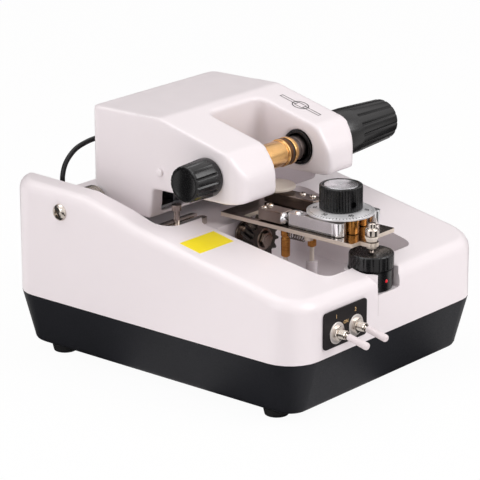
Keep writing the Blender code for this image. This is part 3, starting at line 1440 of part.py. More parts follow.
def head_shell():
    """The forked white shell: hollow, open under its rear part, with the clamp and hinge holes."""
    shell = head_blank("head_shell", 0.0)
    shell = round_edges(applied(shell, WHITE), HEAD_EDGE, 3, any_edge)
    void = head_blank("head_void", HEAD_WALL)
    cut(shell, void)
    mouth_y = CUTOUT_Y + REAR_BOTTOM_LEAN + HEAD_WALL
    half = HEAD_HALF_WIDTH - HEAD_WALL
    opening = box(
        "head_underside",
        (-half, mouth_y, EAR_BOTTOM_Z - OVERRUN),
        (half, HEAD_REAR_Y - HEAD_WALL, REAR_BOTTOM_Z + HEAD_WALL + OVERRUN),
    )
    window = box(
        "head_window",
        (-half * WINDOW_SHARE, CUTOUT_Y - OVERRUN, REAR_BOTTOM_Z + HEAD_WALL),
        (half * WINDOW_SHARE, mouth_y + OVERRUN, CUTOUT_Z - HEAD_WALL),
    )
    cut(shell, opening, window)
    out = HEAD_HALF_WIDTH
    wall = HEAD_WALL + 2 * OVERRUN
    clamp = (CLAMP_Y, CLAMP_Z)
    holes = (
        ("spindle_hole", -out - OVERRUN, wall, clamp, SPINDLE_RADIUS + GAP),
        ("chuck_hole", MOUTH_LEFT_X - HEAD_WALL - OVERRUN, wall, clamp, CHUCK_RADIUS + GAP),
        ("liner_hole", MOUTH_RIGHT_X - OVERRUN, wall, clamp, LINER_RADIUS + GAP),
        ("shaft_hole", out - HEAD_WALL - OVERRUN, wall, clamp, CLAMP_SHAFT_RADIUS + GAP),
    )
    for name, x, length, (y, z), radius in holes:
        cut(shell, rod(name, (x, y, z), RIGHT, length, radius))
    for side, sign in (("left", -1), ("right", 1)):
        start = (sign * (out - HEAD_WALL - BUSH_FLANGE_THICKNESS), HINGE_Y, HINGE_Z)
        direction = (sign, 0.0, 0.0)
        length = HEAD_WALL + 2 * BUSH_FLANGE_THICKNESS
        join(shell, rod(f"{side}_hinge_boss", start, direction, length, BUSH_FLANGE_RADIUS))
    reach = out + BUSH_FLANGE_THICKNESS + OVERRUN
    start = (-reach, HINGE_Y, HINGE_Z)
    cut(shell, rod("hinge_bore", start, RIGHT, 2 * reach, HINGE_ROD_RADIUS + GAP))
    start = (CORD_GLAND_X, HEAD_REAR_Y - HEAD_WALL - OVERRUN, CORD_GLAND_Z)
    cut(shell, rod("gland_hole", start, BACK, wall, CORD_GLAND_SHANK_RADIUS + GAP, sides=SMALL_SIDES))
    dome = [
        (BUTTON_RADIUS * math.sin(t), BUTTON_REACH * math.cos(t))
        for t in [math.radians(90 * step / 3) for step in range(4)]
    ]
    button = [*dome, (BUTTON_RADIUS, -HEAD_WALL / 2), (0.0, -HEAD_WALL / 2)]
    start = (GAP - out, BUTTON_Y, BUTTON_Z)
    join(shell, turned("side_button", button, start, LEFT, sides=SMALL_SIDES))
    return shell


def head_inside():
    """The chassis with its motor plate, the gear motor, its pulley, the belt and the cord gland."""
    half = HEAD_HALF_WIDTH - HEAD_WALL - BUSH_FLANGE_THICKNESS - GAP
    front = CUTOUT_Y + REAR_BOTTOM_LEAN + HEAD_WALL + GAP
    rear = HINGE_Y - HINGE_ROD_RADIUS - CHASSIS_HINGE_ROOM
    chassis_top = CHASSIS_LOW_Z + HEAD_CHASSIS_THICKNESS
    chassis = box(
        "head_chassis", (-half, front, CHASSIS_LOW_Z), (half, rear, chassis_top), ALUMINIUM
    )
    plate_x = GEARMOTOR_FACE_X - GAP
    bracket = box(
        "gearmotor_bracket",
        (plate_x - HEAD_CHASSIS_THICKNESS, front + HEAD_WALL, CHASSIS_LOW_Z),
        (plate_x, rear, GEARMOTOR_Z + GEARMOTOR_RADIUS),
    )
    start = (plate_x - HEAD_CHASSIS_THICKNESS - OVERRUN, GEARMOTOR_Y, GEARMOTOR_Z)
    length = HEAD_CHASSIS_THICKNESS + 2 * OVERRUN
    cut(bracket, rod("gearmotor_hole", start, RIGHT, length, DRIVE_PULLEY_RADIUS))
    join(chassis, bracket)
    shaft = GEARMOTOR_FACE_X - DRIVE_BELT_X + DRIVE_PULLEY_WIDTH / 2
    profile = [
        (0.0, shaft),
        (GEARMOTOR_SHAFT_RADIUS, shaft),
        (GEARMOTOR_SHAFT_RADIUS, 0.0),
        (GEARMOTOR_RADIUS, 0.0),
        (GEARMOTOR_RADIUS, -GEARMOTOR_LENGTH),
        (0.0, -GEARMOTOR_LENGTH),
    ]
    motor_place = (GEARMOTOR_FACE_X, GEARMOTOR_Y, GEARMOTOR_Z)
    motor = turned("lens_gearmotor", profile, motor_place, LEFT, STEEL)
    wheel_place = (DRIVE_BELT_X, GEARMOTOR_Y, GEARMOTOR_Z)
    wheel = pulley(
        "gearmotor_pulley",
        wheel_place,
        LEFT,
        DRIVE_PULLEY_RADIUS,
        DRIVE_FLANGE_RADIUS,
        DRIVE_PULLEY_WIDTH,
        PULLEY_FLANGE_THICKNESS,
        GEARMOTOR_SHAFT_RADIUS + GAP,
        ALUMINIUM,
    )
    wheel_axis = carrier("gearmotor_pulley_axis", wheel_place)
    carry(wheel_axis, wheel)
    ends = (
        ((CLAMP_Y, CLAMP_Z), SPINDLE_PULLEY_RADIUS),
        ((GEARMOTOR_Y, GEARMOTOR_Z), DRIVE_PULLEY_RADIUS),
    )
    drive_belt = belt("lens_belt", "x", DRIVE_BELT_X, DRIVE_BELT_WIDTH, DRIVE_BELT_THICKNESS, ends)
    gland_place = (CORD_GLAND_X, HEAD_REAR_Y + GAP, CORD_GLAND_Z)
    gland = cord_gland("head_gland", gland_place, BACK, CORD_GLAND_REACH, HEAD_WALL)
    return [chassis, motor, drive_belt, wheel_axis, gland]


def cord_gland(name, place, direction, reach, wall):
    """A rubber gland: a shank through the wall and a tapered collar outside it."""
    profile = [
        (0.0, reach - GAP),
        (CORD_RADIUS + CORD_GLAND_WALL, reach - GAP),
        (CORD_GLAND_RADIUS, CORD_GLAND_WALL),
        (CORD_GLAND_RADIUS, 0.0),
        (CORD_GLAND_SHANK_RADIUS, 0.0),
        (CORD_GLAND_SHANK_RADIUS, -wall - CORD_GLAND_WALL),
        (0.0, -wall - CORD_GLAND_WALL),
    ]
    return turned(name, profile, place, direction, RUBBER, SMALL_SIDES)


def knob(name, start, direction, length, skirt, skirt_radius, face_radius, bore):
    """A ribbed knob: smooth skirt, tapered ribs, eased face, with a bore for its shank."""
    levels = [
        (0.0, skirt_radius - KNOB_EDGE, 0.0),
        (KNOB_EDGE, skirt_radius, 0.0),
        (skirt - KNOB_EDGE, skirt_radius, 0.0),
        (skirt, skirt_radius - KNOB_EDGE, RIB_DEPTH),
        (length - KNOB_EDGE, face_radius, RIB_DEPTH),
        (length, face_radius - KNOB_EDGE, 0.0),
    ]
    made = fluted(name, levels, KNOB_RIBS, start, direction, BLACK)
    hole = rod(f"{name}_bore", Vector(start) - Vector(direction) * OVERRUN, direction, KNOB_BORE_DEPTH + OVERRUN, bore, sides=SMALL_SIDES)
    return cut(made, hole)


def lens_drive():
    """The driven half of the clamp: knob, spindle with its pulley, brass chuck and pad."""
    axis = (CLAMP_Y, CLAMP_Z)
    out = -HEAD_HALF_WIDTH - GAP
    grip = knob(
        "left_knob",
        (out, *axis),
        LEFT,
        LEFT_KNOB_LENGTH,
        LEFT_KNOB_SKIRT,
        LEFT_KNOB_SKIRT_RADIUS,
        LEFT_KNOB_FACE_RADIUS,
        SPINDLE_RADIUS + GAP,
    )
    knob_end = out - KNOB_BORE_DEPTH + GAP
    chuck_bore = CHUCK_LEFT_END + CHUCK_BORE_DEPTH
    spindle = rod("lens_spindle", (knob_end, *axis), RIGHT, chuck_bore - GAP - knob_end, SPINDLE_RADIUS, STEEL, sides=20)
    wheel = pulley(
        "spindle_pulley",
        (DRIVE_BELT_X, *axis),
        RIGHT,
        SPINDLE_PULLEY_RADIUS,
        SPINDLE_FLANGE_RADIUS,
        DRIVE_PULLEY_WIDTH,
        PULLEY_FLANGE_THICKNESS,
    )
    join(spindle, wheel)
    pad_low = PAD_CENTRE_X - PAD_THICKNESS / 2
    length = pad_low - GAP - CHUCK_LEFT_END
    groove = CHUCK_LIP_LENGTH * CHUCK_GROOVE_SHARE
    profile = [
        (0.0, length),
        (CHUCK_LIP_RADIUS, length),
        (CHUCK_LIP_RADIUS, length - CHUCK_LIP_LENGTH),
        (CHUCK_RADIUS, length - CHUCK_LIP_LENGTH - groove),
        (CHUCK_RADIUS, 0.0),
        (SPINDLE_RADIUS + GAP, 0.0),
        (SPINDLE_RADIUS + GAP, CHUCK_BORE_DEPTH),
        (0.0, CHUCK_BORE_DEPTH),
    ]
    chuck = turned("left_chuck", profile, (CHUCK_LEFT_END, *axis), RIGHT, BRASS)
    pad = rod("clamp_pad", (pad_low, *axis), RIGHT, PAD_THICKNESS, PAD_RADIUS, RUBBER)
    drive = carrier("lens_drive_axis", (DRIVE_BELT_X, *axis))
    carry(drive, grip, spindle, chuck, pad)
    return [drive]


def clamp_slide():
    """The sliding half of the clamp: brass chuck, steel shaft, knob, and the black liner."""
    axis = (CLAMP_Y, CLAMP_Z)
    left = PAD_CENTRE_X + PAD_THICKNESS / 2 + GAP
    length = RIGHT_CHUCK_END - left
    profile = [
        (0.0, length),
        (CHUCK_RADIUS, length),
        (CHUCK_RADIUS, CHUCK_LIP_LENGTH + CHUCK_LIP_LENGTH * CHUCK_GROOVE_SHARE),
        (CHUCK_LIP_RADIUS, CHUCK_LIP_LENGTH),
        (CHUCK_LIP_RADIUS, 0.0),
        (0.0, 0.0),
    ]
    chuck = turned("right_chuck", profile, (left, *axis), RIGHT, BRASS)
    out = HEAD_HALF_WIDTH + GAP
    shank = KNOB_BORE_DEPTH - GAP
    length = out - RIGHT_CHUCK_END - 2 * GAP
    profile = [
        (0.0, length + shank),
        (KNOB_SHANK_RADIUS, length + shank),
        (KNOB_SHANK_RADIUS, length),
        (CLAMP_SHAFT_RADIUS, length),
        (CLAMP_SHAFT_RADIUS, 0.0),
        (0.0, 0.0),
    ]
    shaft = turned("clamp_shaft", profile, (RIGHT_CHUCK_END + GAP, *axis), RIGHT, STEEL)
    grip = knob(
        "right_knob",
        (out, *axis),
        RIGHT,
        RIGHT_KNOB_LENGTH,
        RIGHT_KNOB_SKIRT,
        RIGHT_KNOB_SKIRT_RADIUS,
        RIGHT_KNOB_FACE_RADIUS,
        KNOB_SHANK_RADIUS + GAP,
    )
    length = LINER_END_X - MOUTH_RIGHT_X
    bore = LINER_RADIUS - LINER_WALL
    profile = [
        (bore, LINER_FLANGE_THICKNESS),
        (LINER_FLANGE_RADIUS, LINER_FLANGE_THICKNESS),
        (LINER_FLANGE_RADIUS, 0.0),
        (LINER_RADIUS, 0.0),
        (LINER_RADIUS, -length),
        (bore, -length),
    ]
    place = (MOUTH_RIGHT_X - GAP, *axis)
    liner = turned("clamp_liner", profile, place, LEFT, BLACK, ring=True)
    slide = carrier("clamp_slide_axis", (RIGHT_CHUCK_END, *axis))
    carry(slide, chuck, shaft, grip)
    return [liner, slide]


def clamp_head():
    """Everything that swings on the hinge rod."""
    pieces = [head_shell(), *head_inside(), *lens_drive(), *clamp_slide()]
    carry(carrier("head_axis", (0.0, HINGE_Y, HINGE_Z)), *pieces)


# Guide table
def table_plate():
    """The polished table with its tongue, cutter slot, arm pins, spring stub and dial post."""
    outline = rounded_rectangle(
        (TABLE_LEFT_X, TABLE_FRONT_Y), (TABLE_RIGHT_X, TABLE_REAR_Y), TABLE_CORNER, 3
    )
    tongue = rounded_rectangle(
        (TURRET_X - TONGUE_RADIUS, TURRET_Y - TONGUE_RADIUS),
        (TURRET_X + TONGUE_RADIUS, TABLE_FRONT_Y + TONGUE_RADIUS),
        TONGUE_RADIUS * TONGUE_ROUNDING_SHARE,
    )
    low = TABLE_TOP_Z - TABLE_THICKNESS
    rise = low - CUTTER_Z
    half_chord = math.sqrt(CUTTER_RADIUS**2 - rise**2) + CUTTER_SLOT_CLEARANCE
    half_slot = CUTTER_WIDTH / 2 + CUTTER_SLOT_CLEARANCE
    slot = [
        (CUTTER_X - half_chord, CUTTER_Y - half_slot),
        (CUTTER_X + half_chord, CUTTER_Y - half_slot),
        (CUTTER_X + half_chord, CUTTER_Y + half_slot),
        (CUTTER_X - half_chord, CUTTER_Y + half_slot),
    ]
    table = flat("guide_table", [outline, slot], "z", low, TABLE_TOP_Z, STEEL)
    half = TABLE_THICKNESS / 2
    start = (TURRET_X, TURRET_Y, low - LIFT_RING_HEIGHT)
    ring = rod("lift_ring", start, UP, LIFT_RING_HEIGHT + half, LIFT_RING_RADIUS, sides=20)
    join(table, flat("table_tongue", [tongue], "z", low, TABLE_TOP_Z), ring)
    start = (TURRET_X, TURRET_Y, low - LIFT_RING_HEIGHT - OVERRUN)
    bore = TURRET_SPINDLE_RADIUS + GAP
    length = LIFT_RING_HEIGHT + TABLE_THICKNESS + 2 * OVERRUN
    cut(table, rod("tongue_bore", start, UP, length, bore, sides=SMALL_SIDES))
    pin_top = TABLE_TOP_Z + ARM_LIFT + ARM_HEIGHT - GAP
    for side, x in ARM_XS.items():
        start = (x, ARM_PIVOT_Y, low + half)
        length = pin_top - low - half
        join(table, rod(f"{side}_arm_pin", start, UP, length, ARM_PIVOT_RADIUS, sides=SMALL_SIDES))
    start = (ARM_XS["left"], ARM_PIVOT_Y, low - STUB_LENGTH)
    length = STUB_LENGTH + half / 2
    join(table, rod("spring_stub", start, UP, length, STUB_RADIUS, sides=SMALL_SIDES))
    profile = [
        (0.0, dial_spindle_top()),
        (DIAL_SPINDLE_RADIUS, dial_spindle_top()),
        (DIAL_SPINDLE_RADIUS, DIAL_LOW_Z - GAP),
        (DIAL_POST_RADIUS, DIAL_LOW_Z - GAP),
        (DIAL_POST_RADIUS, low + half),
        (0.0, low + half),
    ]
    join(table, turned("dial_post", profile, (DIAL_X, DIAL_Y, 0.0), UP, sides=20))
    return table


def dial_spindle_top():
    return DIAL_LOW_Z + DIAL_THICKNESS + DIAL_KNOB_HEIGHT * KNOB_BORE_SHARE


def guide_posts():
    """The brass posts under the table, whose pins slide in sockets of the well floor."""
    made = []
    top = TABLE_TOP_Z - TABLE_THICKNESS - GAP
    profile = [
        (0.0, 0.0),
        (GUIDE_POST_RADIUS, 0.0),
        (GUIDE_POST_RADIUS, -GUIDE_POST_LENGTH),
        (GUIDE_PIN_RADIUS, -GUIDE_POST_LENGTH),
        (GUIDE_PIN_RADIUS, -GUIDE_POST_LENGTH - GUIDE_PIN_LENGTH),
        (0.0, -GUIDE_POST_LENGTH - GUIDE_PIN_LENGTH),
    ]
    for side, x in GUIDE_POST_XS.items():
        made.append(turned(f"{side}_guide_post", profile, (x, GUIDE_POST_Y, top), UP, BRASS, SMALL_SIDES))
    return made


def lift_hardware():
    """The cone and nut that hold the table's tongue on the turret's spindle."""
    bore = TURRET_SPINDLE_RADIUS + GAP
    centre = (TURRET_X, TURRET_Y)
    cone_low = TABLE_TOP_Z + GAP
    profile = [
        (bore, CONE_HEIGHT),
        (CONE_TOP_RADIUS, CONE_HEIGHT),
        (CONE_LOW_RADIUS, 0.0),
        (bore, 0.0),
    ]
    cone = turned("lift_cone", profile, (*centre, cone_low), UP, NYLON, 20, ring=True)
    nut_low = cone_low + CONE_HEIGHT + GAP
    neck = LIFT_NECK_HEIGHT
    full = neck + LIFT_NUT_HEIGHT
    profile = [
        (bore, full),
        (LIFT_NUT_RADIUS - TABLE_CORNER, full),
        (LIFT_NUT_RADIUS, full - TABLE_CORNER),
        (LIFT_NUT_RADIUS, neck),
        (LIFT_NECK_RADIUS, neck),
        (LIFT_NECK_RADIUS, 0.0),
        (bore, 0.0),
    ]
    nut = turned("lift_nut", profile, (*centre, nut_low), UP, CHROME, 20, ring=True)
    return [cone, nut]


def dial():
    """The graduated disc, fluted knob and spun cap that turn together, and the brass columns."""
    place = (DIAL_X, DIAL_Y)
    table = TABLE_TOP_Z + GAP
    disc_top = DIAL_LOW_Z + DIAL_THICKNESS
    knob_low = disc_top + GAP
    bore = DIAL_SPINDLE_RADIUS + GAP
    bore_depth = dial_spindle_top() + GAP - knob_low
    rim = DIAL_THICKNESS * DIAL_RIM_SHARE
    profile = [
        (bore, DIAL_THICKNESS),
        (DIAL_RADIUS - 2 * rim, DIAL_THICKNESS),
        (DIAL_RADIUS, DIAL_THICKNESS - rim),
        (DIAL_RADIUS, 0.0),
        (bore, 0.0),
    ]
    disc = turned("dial_disc", profile, (*place, DIAL_LOW_Z), UP, ALUMINIUM, 48, ring=True)
    radius = DIAL_KNOB_RADIUS
    levels = [
        (0.0, radius, DIAL_RIB_DEPTH),
        (DIAL_KNOB_HEIGHT - TABLE_CORNER, radius, DIAL_RIB_DEPTH),
        (DIAL_KNOB_HEIGHT, radius - TABLE_CORNER, 0.0),
    ]
    grip = fluted("dial_knob", levels, DIAL_KNOB_RIBS, (*place, knob_low), UP, BLACK, 2)
    cap_floor = knob_low + DIAL_KNOB_HEIGHT - DIAL_CAP_DEPTH - GAP
    cut(grip, rod("cap_recess", (*place, cap_floor), UP, DIAL_CAP_DEPTH + OVERRUN, DIAL_CAP_RADIUS + GAP))
    cut(grip, rod("dial_bore", (*place, knob_low - OVERRUN), UP, bore_depth + OVERRUN, bore, sides=SMALL_SIDES))
    turn = math.radians(SET_SCREW_DEGREES)
    out = Vector((math.cos(turn), math.sin(turn), 0.0))
    start = Vector((*place, knob_low + SET_SCREW_HEIGHT)) + out * (radius - SET_SCREW_DEPTH)
    cut(grip, rod("set_screw_hole", start, out, SET_SCREW_DEPTH + OVERRUN, SET_SCREW_RADIUS, sides=12))
    cap = rod("dial_cap", (*place, cap_floor + GAP), UP, DIAL_CAP_DEPTH, DIAL_CAP_RADIUS, ALUMINIUM)
    turning = carrier("dial_axis", (*place, DIAL_LOW_Z))
    carry(turning, disc, grip, cap)
    columns = [
        rod(
            f"{side}_dial_column",
            (x, y, table),
            UP,
            DIAL_LOW_Z - GAP - table,
            COLUMN_RADII[side],
            BRASS,
            sides=20,
        )
        for side, (x, y) in COLUMN_PLACES.items()
    ]
    return [turning, *columns]


def guide_arm(side):
    """One guide arm: the chrome bar on its pin, and the block that the bar carries behind it."""
    x = ARM_XS[side]
    block_x = BLOCK_XS[side]
    inward = 1 if side == "left" else -1
    low = TABLE_TOP_Z + ARM_LIFT
    half = ARM_WIDTH / 2
    outline = rounded(
        [
            (x - half, ARM_FRONT_Y, half * ARM_END_SHARE),
            (x + half, ARM_FRONT_Y, half * ARM_END_SHARE),
            (x + half, ARM_REAR_Y, half * ARM_HEEL_SHARE),
            (x - half, ARM_REAR_Y, half * ARM_HEEL_SHARE),
        ],
        5,
    )
    bore = circle((x, ARM_PIVOT_Y), ARM_PIVOT_RADIUS + GAP)
    bar = flat(f"{side}_guide_arm", [outline, bore], "z", low, low + ARM_HEIGHT, CHROME)
    slot_y = ARM_FRONT_Y + half + ARM_SLOT_WIDTH
    slot = box(
        f"{side}_arm_slot",
        (x - half - OVERRUN, slot_y, low - OVERRUN),
        (x - half + ARM_SLOT_DEPTH * ARM_HEEL_SHARE, slot_y + ARM_SLOT_WIDTH, low + ARM_HEIGHT + OVERRUN),
    )
    cut(bar, slot)
    block_front = ARM_REAR_Y + RING_THICKNESS + 2 * GAP
    block_low = (block_x - BLOCK_WIDTH / 2, block_front, low)
    block_high = (block_x + BLOCK_WIDTH / 2, BLOCK_REAR_YS[side], low + BLOCK_HEIGHT)
    block = bevel(box(f"{side}_guide_block", block_low, block_high, STEEL), BLOCK_CHAMFER * ARM_HEEL_SHARE, 1)
    middle_z = low + BLOCK_HEIGHT / 2
    start = (x + inward * (half - RING_INSET), ARM_REAR_Y + GAP, middle_z)
    if side == "right":
        length = RING_THICKNESS + 2 * GAP
        join(block, rod("right_arm_spacer", start, BACK, length, RING_RADIUS, sides=20))
        moving = [bar, block, lens_roller(low + BLOCK_HEIGHT)]
    else:
        ring = rod("arm_ring", start, BACK, RING_THICKNESS, RING_RADIUS, BLACK, sides=20)
        screw_x = block_x - BLOCK_WIDTH / 2 + BLOCK_SCREW_INSET
        profile = [
            (0.0, BLOCK_SCREW_HEIGHT),
            (BLOCK_SCREW_RADIUS * BLOCK_DOME_SHARE, BLOCK_SCREW_HEIGHT),
            (BLOCK_SCREW_RADIUS, BLOCK_SCREW_HEIGHT * ARM_HEEL_SHARE),
            (BLOCK_SCREW_RADIUS, -GAP),
            (0.0, -GAP),
        ]
        screw = turned("block_screw", profile, (screw_x, block_front, middle_z), FRONT, sides=20)
        join(block, screw)
        moving = [bar, block, ring]
    swing = carrier(f"{side}_arm_axis", (x, ARM_PIVOT_Y, low))
    carry(swing, *moving)
    return swing


def lens_roller(block_top):
    """The nylon roller that the lens runs on, on its coned stub."""
    disc = [
        (0.0, ROLLER_THICKNESS),
        (ROLLER_RADIUS - ROLLER_EDGE, ROLLER_THICKNESS),
        (ROLLER_RADIUS, ROLLER_THICKNESS - ROLLER_EDGE),
        (ROLLER_RADIUS, ROLLER_EDGE),
        (ROLLER_RADIUS - ROLLER_EDGE, 0.0),
        (ROLLER_CONE_HIGH_RADIUS, 0.0),
        (ROLLER_CONE_LOW_RADIUS, block_top + GAP - ROLLER_LOW_Z),
        (0.0, block_top + GAP - ROLLER_LOW_Z),
    ]
    place = (ROLLER_X, ROLLER_Y, ROLLER_LOW_Z)
    roller = turned("lens_roller", disc, place, UP, NYLON)
    turning = carrier("roller_axis", place)
    carry(turning, roller)
    return turning


def arm_spring():
    """The small spring under the table, from the left guide post to the left arm's pivot."""
    x = (ARM_XS["left"] + GUIDE_POST_XS["left"]) / 2
    z = TABLE_TOP_Z - TABLE_THICKNESS - GAP - ARM_SPRING_RADIUS - ARM_SPRING_WIRE_RADIUS - TABLE_CORNER
    start = GUIDE_POST_Y - GUIDE_POST_RADIUS - GAP
    end = ARM_PIVOT_Y + STUB_RADIUS + GAP
    steps = ARM_SPRING_TURNS * SPRING_POINTS_PER_TURN
    lead = 2 * ARM_SPRING_WIRE_RADIUS
    points = [(x + ARM_SPRING_RADIUS, start, z)]
    for step in range(steps + 1):
        turn = math.tau * step / SPRING_POINTS_PER_TURN
        y = start - lead + (end - start + 2 * lead) * step / steps
        points.append((x + ARM_SPRING_RADIUS * math.cos(turn), y, z + ARM_SPRING_RADIUS * math.sin(turn)))
    points.append((x + ARM_SPRING_RADIUS, end, z))
    pitch = (start - end - 2 * lead) / ARM_SPRING_TURNS
    print("arm spring: least gap between turns", round((pitch - lead) * 1000, 2), "mm")
    return tube("arm_spring", points, ARM_SPRING_WIRE_RADIUS, STEEL, 1)


def guide_table():
    """Everything that rises and falls with the table."""
    pieces = [table_plate(), *guide_posts(), *lift_hardware(), *dial()]
    pieces += [guide_arm("left"), guide_arm("right"), arm_spring()]
    carry(carrier("table_lift_axis", (TURRET_X, TURRET_Y, TABLE_TOP_Z)), *pieces)


# Turret
def turret():
    """The black turret with its fluted knob and red dot, and the spindle that lifts the table."""
    place = (TURRET_X, TURRET_Y)
    low = NOTCH_FLOOR + GAP
    radius = TURRET_KNOB_RADIUS
    knob_top = TURRET_HEIGHT + TURRET_KNOB_HEIGHT
    levels = [
        (0.0, TURRET_RADIUS, 0.0),
        (TURRET_HEIGHT, TURRET_RADIUS, 0.0),
        (TURRET_HEIGHT + TABLE_CORNER, radius, TURRET_RIB_DEPTH),
        (knob_top - TABLE_CORNER, radius, TURRET_RIB_DEPTH),
        (knob_top, radius - TABLE_CORNER, 0.0),
    ]
    knob = fluted("turret_knob", levels, TURRET_KNOB_RIBS, (*place, low), UP, BLACK, 2)
    turn = math.radians(TURRET_DOT_DEGREES)
    out = Vector((math.cos(turn), math.sin(turn), 0.0))
    start = Vector((*place, low + TURRET_HEIGHT / 2)) + out * (TURRET_RADIUS - TURRET_DOT_RADIUS)
    reach = TURRET_DOT_RADIUS + TURRET_DOT_REACH
    join(knob, rod("turret_dot", start, out, reach, TURRET_DOT_RADIUS, sides=12))
    bore = TURRET_SPINDLE_RADIUS + GAP
    bore_low = low + TURRET_HEIGHT
    start = (*place, bore_low - GAP)
    cut(knob, rod("turret_bore", start, UP, TURRET_KNOB_HEIGHT + OVERRUN, bore, sides=SMALL_SIDES))
    length = TURRET_SPINDLE_TOP - bore_low
    start = (*place, bore_low)
    spindle = rod("turret_spindle", start, UP, length, TURRET_SPINDLE_RADIUS, STEEL, sides=SMALL_SIDES)
    carry(carrier("turret_axis", start), knob, spindle)


# Rest bars on the deck
def head_rest():
    """Two round-ended steel bars on the deck under the left lobe, tied by a strap with a stud."""
    low = DECK_HEIGHT + GAP
    bars = []
    for y in REST_BAR_YS:
        outline = rounded_rectangle(
            (REST_LEFT_X, y - REST_BAR_WIDTH / 2),
            (REST_RIGHT_X, y + REST_BAR_WIDTH / 2),
            REST_BAR_WIDTH * REST_END_SHARE,
            4,
        )
        bars.append(flat("rest_bar", [outline], "z", low, low + REST_BAR_HEIGHT))
    bars[0].name = "head_rest"
    rest = applied(bars[0], STEEL)
    strap = box(
        "rest_strap",
        (REST_STUD_X - REST_STRAP_WIDTH / 2, REST_BAR_YS[0], low),
        (REST_STUD_X + REST_STRAP_WIDTH / 2, REST_BAR_YS[1], low + REST_BAR_HEIGHT * REST_STRAP_SHARE),
    )
    middle = sum(REST_BAR_YS) / len(REST_BAR_YS)
    stud = [
        (0.0, REST_STUD_HEIGHT),
        (REST_STUD_RADIUS, REST_STUD_HEIGHT),
        (REST_STUD_RADIUS, REST_STUD_HEIGHT - REST_COLLAR_HEIGHT),
        (REST_COLLAR_RADIUS, REST_STUD_HEIGHT - REST_COLLAR_HEIGHT),
        (REST_COLLAR_RADIUS, GAP),
        (0.0, GAP),
    ]
    join(rest, bars[1], strap, turned("rest_stud", stud, (REST_STUD_X, middle, low), UP, sides=SMALL_SIDES))


# Cord
def smooth_route(points, steps):
    """Points on the smooth curve through the route's own points."""
    route = []
    places = [Vector(point) for point in points]
    for index in range(len(places) - 1):
        first = places[max(index - 1, 0)]
        second = places[index]
        third = places[index + 1]
        fourth = places[min(index + 2, len(places) - 1)]
        for step in range(steps):
            t = step / steps
            route.append(
                0.5
                * (
                    2 * second
                    + (third - first) * t
                    + (2 * first - 5 * second + 4 * third - fourth) * t**2
                    + (3 * second - 3 * third + fourth - first) * t**3
                )
            )
    route.append(places[-1])
    return route


def head_cord():
    """The short cord from the head's gland to the gland in the deck behind the left cheek."""
    route = smooth_route(CORD_ROUTE, CORD_STEPS_PER_SPAN)
    length = sum((after - before).length for before, after in zip(route, route[1:]))
    print("head cord: length", round(length * 1000, 1), "mm")
    tube("head_cord", route, CORD_RADIUS, CORD_BLACK, CORD_SIDES_RESOLUTION)
    place = (CORD_FOOT_X, CORD_FOOT_Y, DECK_HEIGHT + GAP)
    cord_gland("deck_gland", place, UP, DECK_GLAND_REACH, DECK_WALL)


def set_origin():
    """Put the origin on the floor, under the middle of the machine's overall box."""
    for obj in (*PARTS.objects, *CUTTERS.objects):
        if obj.parent is None:
            obj.location.x -= OVERALL_MIDDLE_X
            obj.location.y -= OVERALL_MIDDLE_Y


def build():
    base_tub()
    feet()
    top_cover()
    switch_plate()
    for side, x in TOGGLE_XS.items():
        toggle_switch(side, x)
    power_inlet()
    transformer()
    control_board()
    cutter()
    cutter_drive()
    hinge()
    clamp_head()
    guide_table()
    turret()
    head_rest()
    head_cord()
    set_origin()


build()
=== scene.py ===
"""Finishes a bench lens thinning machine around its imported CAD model.

Laid out as an add-on and run as a script: each operator makes one group of pieces, and the panel
lists them. Metres, +Z up, in the CAD model's own frame. Profiles and places are in millimetres.
"""

import json
import math

import bmesh
import bpy
from mathutils import Matrix, Vector
from mathutils.bvhtree import BVHTree
from mathutils.kdtree import KDTree

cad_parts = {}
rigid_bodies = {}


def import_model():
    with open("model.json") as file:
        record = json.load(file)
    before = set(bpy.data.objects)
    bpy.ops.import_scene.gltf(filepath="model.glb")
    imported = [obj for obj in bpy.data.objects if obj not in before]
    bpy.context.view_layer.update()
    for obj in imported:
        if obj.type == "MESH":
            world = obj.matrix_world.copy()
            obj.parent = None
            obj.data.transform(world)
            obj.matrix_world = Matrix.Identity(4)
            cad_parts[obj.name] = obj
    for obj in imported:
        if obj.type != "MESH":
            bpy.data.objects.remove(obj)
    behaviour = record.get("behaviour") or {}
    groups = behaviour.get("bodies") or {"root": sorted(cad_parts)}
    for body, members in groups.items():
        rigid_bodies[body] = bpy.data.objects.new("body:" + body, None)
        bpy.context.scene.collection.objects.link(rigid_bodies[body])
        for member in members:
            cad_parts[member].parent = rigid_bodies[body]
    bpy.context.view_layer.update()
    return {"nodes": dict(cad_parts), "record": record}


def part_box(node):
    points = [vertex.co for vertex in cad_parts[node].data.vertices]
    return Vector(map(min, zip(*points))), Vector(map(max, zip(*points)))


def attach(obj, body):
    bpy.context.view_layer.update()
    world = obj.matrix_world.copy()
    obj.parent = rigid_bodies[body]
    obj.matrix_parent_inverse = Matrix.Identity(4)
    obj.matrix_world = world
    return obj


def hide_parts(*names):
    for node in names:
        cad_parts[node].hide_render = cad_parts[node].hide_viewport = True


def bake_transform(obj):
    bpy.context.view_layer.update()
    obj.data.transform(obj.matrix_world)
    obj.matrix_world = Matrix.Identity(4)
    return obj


bl_info = {
    "name": "Lens Thinning Machine",
    "version": (1, 0, 0),
    "blender": (4, 5, 0),
    "location": "3D Viewport > Sidebar > Lens Machine",
    "description": "Dresses a lens thinning machine with its finishes and fine pieces",
    "category": "Add Mesh",
}

